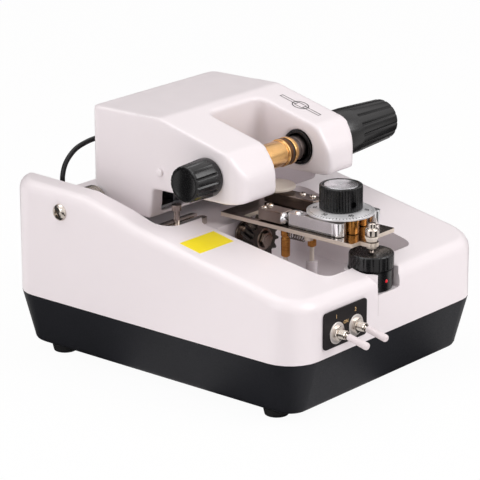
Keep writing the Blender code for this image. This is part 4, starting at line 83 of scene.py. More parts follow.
for leftover in list(bpy.data.objects):
    bpy.data.objects.remove(leftover)
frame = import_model()
NODES = frame["nodes"]
BODY_OF = {node: body for body, nodes in frame["record"]["behaviour"]["bodies"].items() for node in nodes}
SLOT_OF = {part["node"]: part["material_slot"] for part in frame["record"]["subparts"]}

MM = 0.001
UP = Vector((0.0, 0.0, 1.0))
RIGHT = Vector((1.0, 0.0, 0.0))
LEFT = -RIGHT
BACK = Vector((0.0, 1.0, 0.0))
FRONT = -BACK
WELD = 0.01 * MM
FLAT_ANGLE = math.radians(0.6)
CREASE_ANGLE = math.radians(34.0)
CORNER_ANGLE = math.radians(32.0)
TURNED_STEPS = 72
EASE_STEPS = 3
# Places that several pieces share, in millimetres and degrees
DIAL_AXIS = (-6.9, -67.1)
TURRET_AXIS = (-14.9, -98.6)
TOGGLE_XS = {"left": -70.4, "right": -50.9}
TOGGLE_Z = 57.7
TOGGLE_TILT = 12.0
PLATE_FACE_Y = -113.9
BLOCK_TOP_Z = 109.6
LEFT_BLOCK_FRONT = (-23.3, -32.5, 105.6)
CORD_RADIUS = 1.75
CORD_ROUTE = (
    (-45.9, 99.2, 142.0), (-46.3, 103.2, 142.0), (-49.7, 106.9, 141.6), (-57.7, 110.9, 139.4),
    (-67.9, 112.7, 135.7), (-76.7, 112.9, 128.6), (-81.0, 112.2, 120.0), (-81.1, 111.6, 112.0),
    (-80.1, 111.4, 104.0), (-79.9, 111.4, 99.0),
)


def linear(colour):
    """An sRGB hex value as the linear colour that a shader takes."""
    made = []
    for start in (1, 3, 5):
        value = int(colour[start : start + 2], 16) / 255
        made.append(value / 12.92 if value <= 0.04045 else ((value + 0.055) / 1.055) ** 2.4)
    return (*made, 1.0)


LENGTH = {"unit": "LENGTH", "subtype": "DISTANCE"}
COLOUR = {"subtype": "COLOR", "size": 4, "min": 0.0, "max": 1.0}


# Sizes and colours that a user would change
class HousingSettings(bpy.types.PropertyGroup):
    """Colours and edges of the moulded housing."""

    white: bpy.props.FloatVectorProperty(
        name="White", description="Colour of the moulded cover and head", default=linear("#EFE7EA"), **COLOUR
    )
    charcoal: bpy.props.FloatVectorProperty(
        name="Charcoal", description="Colour of the moulded tub", default=linear("#222328"), **COLOUR
    )
    head_edge: bpy.props.FloatProperty(
        name="Head edge", description="How far from a sharp edge the head's skin is softened",
        default=3.7 * MM, min=1.0 * MM, max=8.0 * MM, **LENGTH,
    )
    corner: bpy.props.FloatProperty(
        name="Corner", description="Width of the broken corners of small hard pieces",
        default=0.25 * MM, min=0.0, max=1.0 * MM, **LENGTH,
    )


class KnobSettings(bpy.types.PropertyGroup):
    """Ribs of the moulded knobs."""

    black: bpy.props.FloatVectorProperty(
        name="Black", description="Colour of the moulded knobs", default=linear("#0E0E10"), **COLOUR
    )
    clamp_ribs: bpy.props.IntProperty(
        name="Clamp knob ribs", description="Ribs round each clamp knob", default=14, min=6, max=30
    )
    dial_ribs: bpy.props.IntProperty(
        name="Dial knob ribs", description="Ribs round the dial knob", default=42, min=12, max=80
    )
    turret_ribs: bpy.props.IntProperty(
        name="Turret knob ribs", description="Ribs round the turret knob", default=18, min=12, max=60
    )
    groove: bpy.props.FloatProperty(
        name="Groove", description="Depth of the grooves between the clamp knobs' ribs",
        default=0.9 * MM, min=0.0, max=2.0 * MM, **LENGTH,
    )


class DialSettings(bpy.types.PropertyGroup):
    """Graduation of the dial disc."""

    divisions: bpy.props.IntProperty(
        name="Divisions", description="Lines round the dial disc", default=60, min=10, max=120
    )
    number_every: bpy.props.IntProperty(
        name="Number every", description="Lines from one number to the next", default=10, min=5, max=20
    )
    line_width: bpy.props.FloatProperty(
        name="Line width", description="Width of one line of the graduation",
        default=0.42 * MM, min=0.05 * MM, max=1.0 * MM, **LENGTH,
    )


class StageSettings(bpy.types.PropertyGroup):
    """Camera and lamps."""

    lens: bpy.props.FloatProperty(
        name="Lens", description="Focal length of the camera in millimetres", default=200.1, min=20.0, max=400.0
    )
    key: bpy.props.FloatProperty(
        name="Key lamp", description="Power of the soft lamp in front", unit="POWER", default=14.2, min=0.0
    )
    flags: bpy.props.IntProperty(
        name="Flags", description="Dark flags round the set that metal mirrors", default=5, min=1, max=12
    )
    room: bpy.props.FloatProperty(
        name="Room light", description="Strength of the light from all round", default=0.5, min=0.0, max=2.0
    )


# Shader building
def add_node(tree, kind, settings, sockets):
    """A node with its settings; a socket takes a plain value, an output, or a node for its first output."""
    node = tree.nodes.new(f"ShaderNode{kind}")
    for name, value in settings.items():
        setattr(node, name, value)
    for name, value in sockets.items():
        if isinstance(value, bpy.types.Node):
            value = value.outputs[0]
        if isinstance(value, bpy.types.NodeSocket):
            tree.links.new(value, node.inputs[name])
        else:
            node.inputs[name].default_value = value
    return node


def finish(
    name, light, dark, metal=0.0, smooth=(0.3, 0.4), tone=20.0, grain=0.8, depth=0.010, stretch=(1.0, 1.0, 1.0),
    detail=2.0, coat=0.0, spun=0.0, specular=0.5,
):
    """A material: two close colours that drift over tone mm, and a relief of grain mm, depth mm deep."""
    material = bpy.data.materials.new(name)
    material.use_nodes = True
    tree = material.node_tree
    shader = tree.nodes["Principled BSDF"]
    for socket, value in (
        ("Metallic", metal), ("Coat Weight", coat), ("Coat Roughness", 0.12), ("Specular IOR Level", specular),
        ("Anisotropic", spun), ("Anisotropic Rotation", 0.25 if spun else 0.0),
    ):
        shader.inputs[socket].default_value = value
    place = add_node(tree, "TexCoord", {}, {}).outputs["Object"]
    drift = add_node(tree, "TexNoise", {}, {"Vector": place, "Scale": 1 / (tone * MM), "Detail": 3.0})
    light = linear(light) if isinstance(light, str) else light
    colour = add_node(tree, "Mix", {"data_type": "RGBA"}, {0: drift, 6: light, 7: linear(dark)})
    tree.links.new(colour.outputs[2], shader.inputs["Base Color"])
    along = add_node(tree, "Mapping", {}, {"Vector": place, "Scale": stretch})
    relief = add_node(tree, "TexNoise", {}, {"Vector": along, "Scale": 1 / (grain * MM), "Detail": detail})
    gloss = add_node(
        tree, "MapRange", {},
        {"Value": relief, "From Min": 0.3, "From Max": 0.7, "To Min": smooth[0], "To Max": smooth[1]},
    )
    tree.links.new(gloss.outputs[0], shader.inputs["Roughness"])
    bump = add_node(tree, "Bump", {}, {"Height": relief, "Distance": depth * MM, "Strength": 1.0})
    tree.links.new(bump.outputs[0], shader.inputs["Normal"])
    return material


def flagged(tree, place, count):
    """Strength of the mirrored floor: count bright sectors round the machine, with dark flags between them."""
    parts = add_node(tree, "SeparateXYZ", {}, {"Vector": place}).outputs
    angle = add_node(tree, "Math", {"operation": "ARCTAN2"}, {0: parts["Y"], 1: parts["X"]})
    phase = add_node(tree, "Math", {"operation": "MULTIPLY_ADD"}, {0: angle, 1: float(count), 2: -1.22})
    wave = add_node(tree, "Math", {"operation": "SINE"}, {0: phase})
    sectors = add_node(
        tree, "MapRange", {"interpolation_type": "SMOOTHSTEP"},
        {"Value": wave, "From Min": -0.55, "From Max": 0.35, "To Min": 0.05, "To Max": 0.95},
    )
    return sectors


LOOKS = {}


def make_looks():
    """Every material, named for what the real one is and how its surface was made."""
    housing = bpy.context.scene.machine_housing
    knobs = bpy.context.scene.machine_knobs
    # Moulded ABS from a polished tool: glossy, a very faint orange peel, almost one colour
    LOOKS["white_plastic"] = finish("polished_mould_abs_white", tuple(housing.white), "#ECE5E8",
        smooth=(0.28, 0.34), tone=90, grain=7, depth=0.006, detail=0, coat=0.15)
    # Moulded ABS from a spark-textured tool: satin, fine even pits that break up the light
    LOOKS["charcoal_plastic"] = finish("spark_textured_abs_charcoal", tuple(housing.charcoal), "#1C1D21",
        smooth=(0.46, 0.6), tone=40, grain=0.9, depth=0.012, specular=0.18)
    # Moulded rubber: dull, with a bloom that lightens it in patches
    LOOKS["foot_rubber"] = finish("moulded_rubber_black", "#1C1C1E", "#121213", smooth=(0.7, 0.85), tone=6,
        grain=0.6, depth=0.02)
    # Anodised aluminium sheet, bead blasted: satin black with a fine sparkle
    LOOKS["plate_black"] = finish("bead_blasted_plate_black", "#231F21", "#191617", smooth=(0.42, 0.55), tone=2,
        grain=0.5, depth=0.010, specular=0.2)
    # Bright nickel on brass: warm mirror with fine polishing haze
    LOOKS["nickel_plate"] = finish("bright_nickel_plating", "#DAD2CA", "#BFB6AD", metal=1, smooth=(0.07, 0.14),
        tone=4, grain=0.8, depth=0.002)
    # Soft PVC sleeve: pale, slightly waxy
    LOOKS["lever_grey"] = finish("pvc_sleeve_pale", "#E9DFE1", "#DDD2D4", smooth=(0.3, 0.4), tone=5, grain=0.9,
        depth=0.008)
    # Moulded phenolic: deep black with a lively gloss
    LOOKS["black_plastic"] = finish("moulded_phenolic_black", tuple(knobs.black), "#0A0A0B", smooth=(0.2, 0.3),
        tone=9, grain=0.9, depth=0.003, specular=0.45)
    # Zinc plate on pressed steel: grey, cloudy, slightly blue
    LOOKS["laminated_steel"] = finish("zinc_plated_steel", "#9C9EA3", "#7E8085", metal=1, smooth=(0.3, 0.46),
        tone=7, grain=0.5, depth=0.006)
    # Glass-epoxy board under solder resist: deep green, glossy
    LOOKS["circuit_board"] = finish("solder_resist_green", "#1F6B33", "#17552A", smooth=(0.22, 0.34), tone=3,
        grain=1, depth=0.01)
    # Steel plate, surface ground along its length and lightly oiled: long fine lines, warm grey
    LOOKS["bright_steel"] = finish("surface_ground_steel", "#A3978E", "#877C75", metal=1, smooth=(0.14, 0.26),
        tone=16, grain=0.3, depth=0.0008, stretch=(1, 0.02, 1), detail=3)
    # Drawn music wire: dark, oiled
    LOOKS["spring_steel"] = finish("drawn_wire_steel", "#8B837C", "#6F6862", metal=1, smooth=(0.2, 0.32), tone=3,
        grain=0.3, depth=0.002)
    # Cylindrically ground steel: darker, with rings from the wheel
    LOOKS["dark_ground_steel"] = finish("cylindrically_ground_steel", "#837A77", "#685F5C", metal=1,
        smooth=(0.24, 0.34), tone=6, grain=0.3, depth=0.0015, stretch=(1, 0.03, 0.03))
    # Moulded belt rubber: matt black
    LOOKS["belt_rubber"] = finish("moulded_belt_rubber", "#1A1A1C", "#101011", smooth=(0.6, 0.75), tone=4,
        grain=0.8, depth=0.03)
    # Extruded PVC jacket: semi-matt, very faint drag lines
    LOOKS["cord_black"] = finish("extruded_pvc_jacket", "#101012", "#0B0B0C", smooth=(0.36, 0.46), tone=8,
        grain=1.1, depth=0.008, specular=0.3)
    # Aluminium face-turned on a lathe: circular tool marks pull each highlight into a bow tie
    LOOKS["aluminium"] = finish("face_turned_aluminium", "#DEDEE1", "#CACACE", metal=1, smooth=(0.2, 0.26),
        tone=5, grain=0.6, depth=0.0006, spun=0.9)
    # The scale's aluminium: etched, so its tool marks are softer and it stays pale
    LOOKS["scale_aluminium"] = finish("etched_scale_aluminium", "#E6E6E8", "#D6D6D9", metal=0.6,
        smooth=(0.36, 0.46), tone=5, grain=0.6, depth=0.0006, spun=0.5)
    # Milled side faces of the ground plate, painted paler than its top as a painted highlight: pale warm steel,
    # cutter lines across
    LOOKS["milled_edge"] = finish("steel_edge_painted_highlight", "#E9DCCF", "#D3C4B6", metal=0.55, smooth=(0.3, 0.42),
        tone=12, grain=0.4, depth=0.002, stretch=(1, 1, 0.1))
    # Tumbled nickel washer: bright, hazed by the barrel
    LOOKS["tumbled_washer"] = finish("tumbled_nickel_washer", "#F1EBE8", "#E2DAD6", metal=0.8, smooth=(0.3, 0.4),
        tone=4, grain=0.6, depth=0.003)
    # Hardened tool steel, ground and oiled: dark grey with brighter lands
    LOOKS["tool_steel"] = finish("hardened_tool_steel", "#5C5854", "#3B3835", metal=1, smooth=(0.24, 0.4), tone=3,
        grain=0.5, depth=0.004, stretch=(1, 0.2, 1))
    # Free-machining brass off the lathe: pale gold, rings round the axis
    LOOKS["turned_brass"] = finish("lathe_turned_brass", "#E9BE84", "#D5A262", metal=1, smooth=(0.18, 0.28),
        tone=8, grain=0.35, depth=0.0012, stretch=(1, 0.02, 0.02))
    # The same brass, painted dark brown as painted shade, for the groove behind the left chuck's lip
    LOOKS["brass_painted_shade"] = finish("brass_lip_painted_shade", "#6B4527", "#4A2E1A", metal=0.8,
        smooth=(0.34, 0.46), tone=4, grain=0.5, depth=0.003)
    # Brass columns and posts, whose lathe rings lie level
    LOOKS["standing_brass"] = finish("lathe_turned_brass_standing", "#D09650", "#A97038", metal=1,
        smooth=(0.2, 0.32), tone=5, grain=0.35, depth=0.0012, stretch=(0.02, 0.02, 1))
    # Moulded rubber pad: warm near-black
    LOOKS["pad_rubber"] = finish("moulded_pad_rubber", "#3A2A20", "#2A1E18", smooth=(0.6, 0.75), tone=4, grain=0.7,
        depth=0.02)
    # Chrome on polished steel: mirror
    LOOKS["polished_chrome"] = finish("polished_chrome_plating", "#F3F3F5", "#E4E4E7", metal=0.84,
        smooth=(0.05, 0.09), tone=9, grain=3, depth=0.002)
    # Nylon turned from rod: ivory, waxy, faint rings
    LOOKS["ivory_nylon"] = finish("turned_nylon_ivory", "#EBE1D6", "#E0D5C9", smooth=(0.38, 0.5), tone=6, grain=0.5,
        depth=0.004)
    # Screen inks and enamel: opaque, a little satin
    for name, light, dark, smooth in (
        ("ink_black", "#2A2A2C", "#222224", (0.45, 0.55)),
        ("ink_gold", "#DDBB86", "#C9A36A", (0.42, 0.52)),
        ("enamel_red", "#E8222E", "#D01824", (0.18, 0.28)),
    ):
        LOOKS[name] = finish(f"screened_{name}", light, dark, smooth=smooth, grain=0.5, depth=0.003)
    # Calendered vinyl: even yellow, slight gloss
    LOOKS["vinyl_yellow"] = finish("calendered_vinyl_yellow", "#FFEA0C", "#F8E008", smooth=(0.3, 0.4), tone=15,
        grain=1.6, depth=0.004)
    # Enamelled copper wire, wound in lines
    LOOKS["copper"] = finish("enamelled_copper_wire", "#B5622F", "#8F4720", metal=0.7, smooth=(0.22, 0.34), tone=3,
        grain=0.35, depth=0.02, stretch=(0.05, 1, 1))


# Mesh building
def spot(*place):
    """A point given in millimetres."""
    return Vector(place) * MM


def aimed(turn):
    """The level direction at turn degrees from +X."""
    return Vector((math.cos(math.radians(turn)), math.sin(math.radians(turn)), 0.0))


def rolled(turn, axis="Z"):
    """The matrix that turns by degrees about an axis."""
    return Matrix.Rotation(math.radians(turn), 4, axis)


def faced(direction, start):
    """The matrix that carries +Z to direction and the origin to start."""
    return Matrix.Translation(start) @ Vector(direction).to_track_quat("Z", "Y").to_matrix().to_4x4()


def baked(name, bm):
    """A mesh that holds the bmesh, which is then freed."""
    mesh = bpy.data.meshes.new(name)
    bm.to_mesh(mesh)
    bm.free()
    return mesh


def linked(name, data):
    """A new object of this mesh, curve, lamp or camera, in the scene."""
    holder = bpy.data.objects.new(name, data)
    bpy.context.scene.collection.objects.link(holder)
    return holder


def near_end(node, direction, length=None):
    """Where a bar along direction starts that is centred on a CAD node, as long as it or length mm."""
    low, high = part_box(node)
    half = length * MM / 2 if length else abs((high - low).dot(direction)) / 2
    return (low + high) / 2 - half * direction


def settle(name, bm, body, look, replaced=(), crease=CREASE_ANGLE):
    """Turns a bmesh into a finished piece: smooth faces, sharp creases, material and body."""
    for face in bm.faces:
        face.smooth = True
    for edge in bm.edges:
        edge.smooth = not edge.is_manifold or edge.calc_face_angle(0.0) < crease
    piece = linked(name, baked(name, bm))
    piece.data.materials.append(LOOKS[look])
    if body:
        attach(piece, body)
    if replaced:
        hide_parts(*replaced)
    return piece


def stand_in(node, bm, look=None, crease=CREASE_ANGLE):
    """A finished piece that takes the place of a CAD node."""
    return settle(f"{node}_piece", bm, BODY_OF[node], look or SLOT_OF[node], [node], crease)


def flat_shading(piece):
    """Keeps broad faces flat to the eye beside their rounded edges."""
    weighted = piece.modifiers.new("face weighted", "WEIGHTED_NORMAL")
    weighted.keep_sharp = True
    weighted.weight = 100
    return piece


def copied(node, whole=True):
    """A merged copy of a CAD node's mesh, its flat faces whole again if whole."""
    bm = bmesh.new()
    bm.from_mesh(NODES[node].data)
    bmesh.ops.remove_doubles(bm, verts=bm.verts, dist=WELD)
    if whole:
        bmesh.ops.dissolve_limit(bm, angle_limit=FLAT_ANGLE, verts=bm.verts, edges=bm.edges)
    return bm


def softened(node, width, look=None, segments=3):
    """A copy of a CAD node with its corners broken, as a tool or a mould leaves them."""
    bm = copied(node)
    if width:
        edges = [edge for edge in bm.edges if edge.is_manifold and edge.calc_face_angle(0.0) > CORNER_ANGLE]
        bmesh.ops.bevel(
            bm, geom=edges, offset=width, offset_type="OFFSET", affect="EDGES", segments=segments, profile=0.5,
            material=-1, clamp_overlap=True, miter_outer="SHARP", miter_inner="SHARP",
        )
    return flat_shading(stand_in(node, bm, look))


def evaluated(piece):
    """The piece's mesh with its modifiers applied, as a bmesh."""
    graph = bpy.context.evaluated_depsgraph_get()
    graph.update()
    final = piece.evaluated_get(graph)
    bm = bmesh.new()
    bm.from_mesh(final.to_mesh())
    final.to_mesh_clear()
    return bm


def carved(bm, *cutters):
    """The bmesh with every cutter cut away."""
    holders = [linked("passing", baked("passing", part)) for part in (bm, gather(*cutters))]
    cut = holders[0].modifiers.new("cut", "BOOLEAN")
    cut.object = holders[1]
    cut.solver = "EXACT"
    cut.use_self = len(cutters) > 1
    made = evaluated(holders[0])
    for holder in holders:
        bpy.data.meshes.remove(holder.data)
    return made


def eased(profile, radius):
    """The profile with each inner corner drawn as a small curve."""
    points = [Vector(point) for point in profile]
    made = [points[0]]
    for before, corner, after in zip(points, points[1:], points[2:]):
        reach = min(radius, 0.45 * (before - corner).length, 0.45 * (after - corner).length)
        first = corner + (before - corner).normalized() * reach
        last = corner + (after - corner).normalized() * reach
        for step in range(EASE_STEPS + 1):
            t = step / EASE_STEPS
            made.append(first * (1 - t) ** 2 + corner * 2 * t * (1 - t) + last * t**2)
    return [*made, points[-1]]


def band(inner, outer, low, high):
    """The profile of a plain ring, or of a disc where inner is 0."""
    return [(inner, low), (outer, low), (outer, high), (inner, high)]


def turned(profile, start, direction, ease=0.2, steps=TURNED_STEPS):
    """A bmesh spun about direction from a profile of (radius, height), closed where it is off the axis."""
    bm = bmesh.new()
    profile = eased(profile, ease) if ease else profile
    verts = [bm.verts.new((radius * MM, 0.0, height * MM)) for radius, height in profile]
    edges = [bm.edges.new(pair) for pair in zip(verts, verts[1:])]
    if profile[0][0] > 0:
        edges.append(bm.edges.new((verts[-1], verts[0])))
    bmesh.ops.spin(bm, geom=verts + edges, axis=UP, cent=(0, 0, 0), steps=steps, angle=math.tau, use_merge=True)
    bmesh.ops.remove_doubles(bm, verts=bm.verts, dist=0.2 * WELD)
    bmesh.ops.recalc_face_normals(bm, faces=bm.faces)
    bmesh.ops.transform(bm, matrix=faced(direction, start), verts=bm.verts)
    return bm


def lathe(node, direction, profile, ease=0.2):
    """A bmesh spun about a CAD node's own axis; heights start at the node's near end."""
    return turned(profile, near_end(node, direction), direction, ease)


def lathed(node, direction, profile, ease=0.2, look=None):
    """A stand-in for a CAD node, turned on the node's own axis."""
    return stand_in(node, lathe(node, direction, profile, ease), look)


def threaded(radius, low, high, pitch, depth):
    """Profile points of a thread drawn as close rings."""
    count = int((high - low) / pitch)
    points = []
    for ring in range(count):
        points += [(radius - depth, low + pitch * ring), (radius, low + pitch * (ring + 0.5))]
    return points


def fluted(levels, ribs, steps, groove_share, start, direction):
    """A ribbed bar: levels of (height, radius, groove depth if any), each ring pushed in along its grooves."""
    bm = bmesh.new()
    bmesh.ops.create_circle(bm, cap_ends=True, segments=ribs * steps, radius=levels[0][1] * MM)

    def shape(verts, height, radius, depth=0.0):
        for vert in verts:
            turn = math.atan2(vert.co.y, vert.co.x)
            phase = min(abs((turn * ribs / math.tau + 0.5) % 1.0 - 0.5) / groove_share, 1.0)
            reach = (radius - depth * (1 - phase**2 * (3 - 2 * phase))) * MM
            vert.co = (reach * math.cos(turn), reach * math.sin(turn), height * MM)

    shape(bm.verts, *levels[0])
    face = bm.faces[:][0]
    for index, level in enumerate(levels[1:]):
        made = bmesh.ops.extrude_face_region(bm, geom=[face])["geom"]
        if index:
            bmesh.ops.delete(bm, geom=[face], context="FACES_ONLY")
        face = next(g for g in made if isinstance(g, bmesh.types.BMFace))
        shape([g for g in made if isinstance(g, bmesh.types.BMVert)], *level)
    bmesh.ops.recalc_face_normals(bm, faces=bm.faces)
    bmesh.ops.transform(bm, matrix=faced(direction, start), verts=bm.verts)
    return bm


def slab(corners, height, matrix, round_by=0.0):
    """A flat plate drawn by its corners in millimetres, extruded up by height."""
    bm = bmesh.new()
    face = bm.faces.new([bm.verts.new((x * MM, y * MM, 0.0)) for x, y in corners])
    made = bmesh.ops.extrude_face_region(bm, geom=[face])["geom"]
    bmesh.ops.translate(bm, vec=(0, 0, height * MM), verts=[g for g in made if isinstance(g, bmesh.types.BMVert)])
    bmesh.ops.recalc_face_normals(bm, faces=bm.faces)
    if round_by:
        bmesh.ops.bevel(
            bm, geom=bm.edges[:], offset=round_by * MM, affect="EDGES", segments=2, profile=0.5, material=-1
        )
    bmesh.ops.transform(bm, matrix=matrix, verts=bm.verts)
    return bm


def oblong(width, length):
    """The four corners of a rectangle about the origin."""
    x, y = width / 2, length / 2
    return [(-x, -y), (x, -y), (x, y), (-x, y)]


def gather(*parts):
    """Several bmeshes as one."""
    whole = bmesh.new()
    for part in parts:
        mesh = baked("passing", part)
        whole.from_mesh(mesh)
        bpy.data.meshes.remove(mesh)
    return whole


def meshed(curve):
    """A curve or text as a bmesh with its doubles merged."""
    bm = evaluated(linked("passing", curve))
    bpy.data.curves.remove(curve)
    bmesh.ops.remove_doubles(bm, verts=bm.verts, dist=0.001 * MM)
    return bm


def wire(points, radius, resolution, cyclic=False):
    """A round wire or cord along points, as a bmesh."""
    curve = bpy.data.curves.new("wire", "CURVE")
    curve.dimensions = "3D"
    curve.bevel_depth = radius * MM
    curve.bevel_resolution = resolution
    curve.use_fill_caps = True
    spline = curve.splines.new("POLY")
    spline.points.add(len(points) - 1)
    spline.use_cyclic_u = cyclic
    for point, place in zip(spline.points, points):
        point.co = (*(spot(*place)), 1.0)
    return meshed(curve)


def letters(text, size, thickness, matrix, bold=0.05):
    """Plain letters or digits, standing thickness proud of the face that matrix gives."""
    curve = bpy.data.curves.new("letters", "FONT")
    curve.body = text
    curve.size = size * MM
    curve.extrude = thickness * MM / 2
    curve.offset = bold * MM
    curve.align_x = "CENTER"
    curve.align_y = "CENTER"
    curve.resolution_u = 4
    bm = meshed(curve)
    bmesh.ops.transform(bm, matrix=matrix, verts=bm.verts)
    return bm


def through(points, steps):
    """A smooth curve through the points, steps to a span."""
    points = [Vector(point) for point in points]
    ends = [2 * points[0] - points[1], *points, 2 * points[-1] - points[-2]]
    made = []
    for a, b, c, d in zip(ends, ends[1:], ends[2:], ends[3:]):
        for step in range(steps):
            t = step / steps
            made.append(
                0.5 * (2 * b + (c - a) * t + (2 * a - 5 * b + 4 * c - d) * t**2 + (3 * b - a - 3 * c + d) * t**3)
            )
    return [*made, points[-1]]


def wound(turns, steps, radius, start, end):
    """The points of a coil as (across, up, along), steps to a turn."""
    made = []
    for step in range(turns * steps + 1):
        turn = math.tau * step / steps
        along = start + (end - start) * step / (turns * steps)
        made.append((radius * math.cos(turn), radius * math.sin(turn), along))
    return made


def screw_head(radius, height, slots, start, direction, turn):
    """A domed screw head with one slot, or two for a cross."""
    dome = [(0.0, -0.3), (radius, -0.3), (radius, 0.25 * height), (0.86 * radius, 0.62 * height)]
    dome += [(0.55 * radius, 0.9 * height), (0.25 * radius, height), (0.0, height)]
    head = turned(dome, start, direction, ease=0.15, steps=40)
    cuts = []
    for slot in range(slots):
        shape = oblong(1.5 * radius if slots > 1 else 2.4 * radius, 0.32 * radius)
        place = faced(direction, start) @ rolled(turn + 90 * slot)
        cuts.append(slab(shape, height, place @ Matrix.Translation((0, 0, 0.42 * height * MM))))
    return carved(head, *cuts)


def skin(node, voxel, reach):
    """A closed skin over a CAD node, rounded within reach of its sharp edges and true everywhere else."""
    source = copied(node)
    tree = BVHTree.FromBMesh(source)
    sharp = [e for e in source.edges if e.is_manifold and e.calc_face_angle(0.0) > math.radians(12)]
    marks = []
    for edge in sharp:
        first, last = (vert.co for vert in edge.verts)
        count = max(1, int((last - first).length / voxel))
        marks += [first.lerp(last, step / count) for step in range(count + 1)]
    near = KDTree(len(marks))
    for index, mark in enumerate(marks):
        near.insert(mark, index)
    near.balance()
    holder = linked("passing", baked("passing", source))
    cells = holder.modifiers.new("cells", "REMESH")
    cells.mode = "VOXEL"
    cells.voxel_size = voxel
    rounding = holder.modifiers.new("rounding", "SMOOTH")
    rounding.factor = 0.5
    rounding.iterations = int(1.2 * (reach / voxel) ** 2)
    bm = evaluated(holder)
    bpy.data.meshes.remove(holder.data)
    for vert in bm.verts:
        place, _, _, _ = tree.find_nearest(vert.co)
        away = (near.find(place)[2] / reach - 0.55) / 0.45
        share = min(max(away, 0.0), 1.0)
        vert.co = vert.co.lerp(place, share * share * (3 - 2 * share))
    bmesh.ops.dissolve_limit(bm, angle_limit=math.radians(0.25), verts=bm.verts, edges=bm.edges)
    return bm


# Operators, one for each group of pieces
class MACHINE_OT_looks(bpy.types.Operator):
    """Make the materials and give each CAD node its own"""

    bl_idname = "machine.looks"
    bl_label = "Materials"

    def execute(self, context):
        make_looks()
        for node, obj in NODES.items():
            obj.data.materials.clear()
            obj.data.materials.append(LOOKS[SLOT_OF[node]])
        return {"FINISHED"}


class MACHINE_OT_cord(bpy.types.Operator):
    """Run the head's cord from the deck into the head, between its two glands"""

    bl_idname = "machine.cord"
    bl_label = "Cord"

    def execute(self, context):
        path = through(CORD_ROUTE, 3)
        tube = wire(through(CORD_ROUTE, 12), CORD_RADIUS, 6)
        cord = settle("head_cord_piece", tube, None, SLOT_OF["head_cord"], ["head_cord"])
        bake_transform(cord)
        for node, direction, foot, mouth in (("deck_gland", UP, 3.2, 7.9), ("head_gland", BACK, 4.0, 8.3)):
            flange = [(0, 0), (2.9, 0), (2.9, foot), (4.2, foot), (4.2, foot + 1.3), (3.3, foot + 1.8)]
            lathed(node, direction, [*flange, (2.3, mouth), (0, mouth)], 0.3)
        return {"FINISHED"}


class MACHINE_OT_housing(bpy.types.Operator):
    """Smooth the moulded cover, head and tub, and turn the feet"""

    bl_idname = "machine.housing"
    bl_label = "Housing"

    def execute(self, context):
        softened("base_tub", 0.0)
        # The turret's drum stands free in a notch as wide as itself, and the wall in front of it is flat
        notch = [(-22.2, -118), (-2.6, -118), (-2.6, -104.5), (-22.2, -104.5)]
        notch = slab(notch, 40, Matrix.Translation(spot(0, 0, 70.9)))
        front = [(-34, -118), (5, -118), (5, -112.9), (-34, -112.9)]
        front = slab(front, 45, Matrix.Translation(spot(0, 0, 52)))
        cover = carved(carved(copied("top_cover", whole=False), notch), front)
        bmesh.ops.remove_doubles(cover, verts=cover.verts, dist=WELD)
        bmesh.ops.dissolve_limit(cover, angle_limit=FLAT_ANGLE, verts=cover.verts, edges=cover.edges)
        bmesh.ops.recalc_face_normals(cover, faces=cover.faces)
        flat_shading(stand_in("top_cover", cover))
        stand_in("head_shell", skin("head_shell", 1.1 * MM, context.scene.machine_housing.head_edge))
        foot = [(0, 0), (7.0, 0), (7.8, 0.4), (9.0, 5.7), (0, 5.7)]
        for end in ("front", "rear"):
            for side in ("left", "right"):
                node = f"foot_{end}_{side}"
                lathed(node, UP, foot, 0.8)
        return {"FINISHED"}


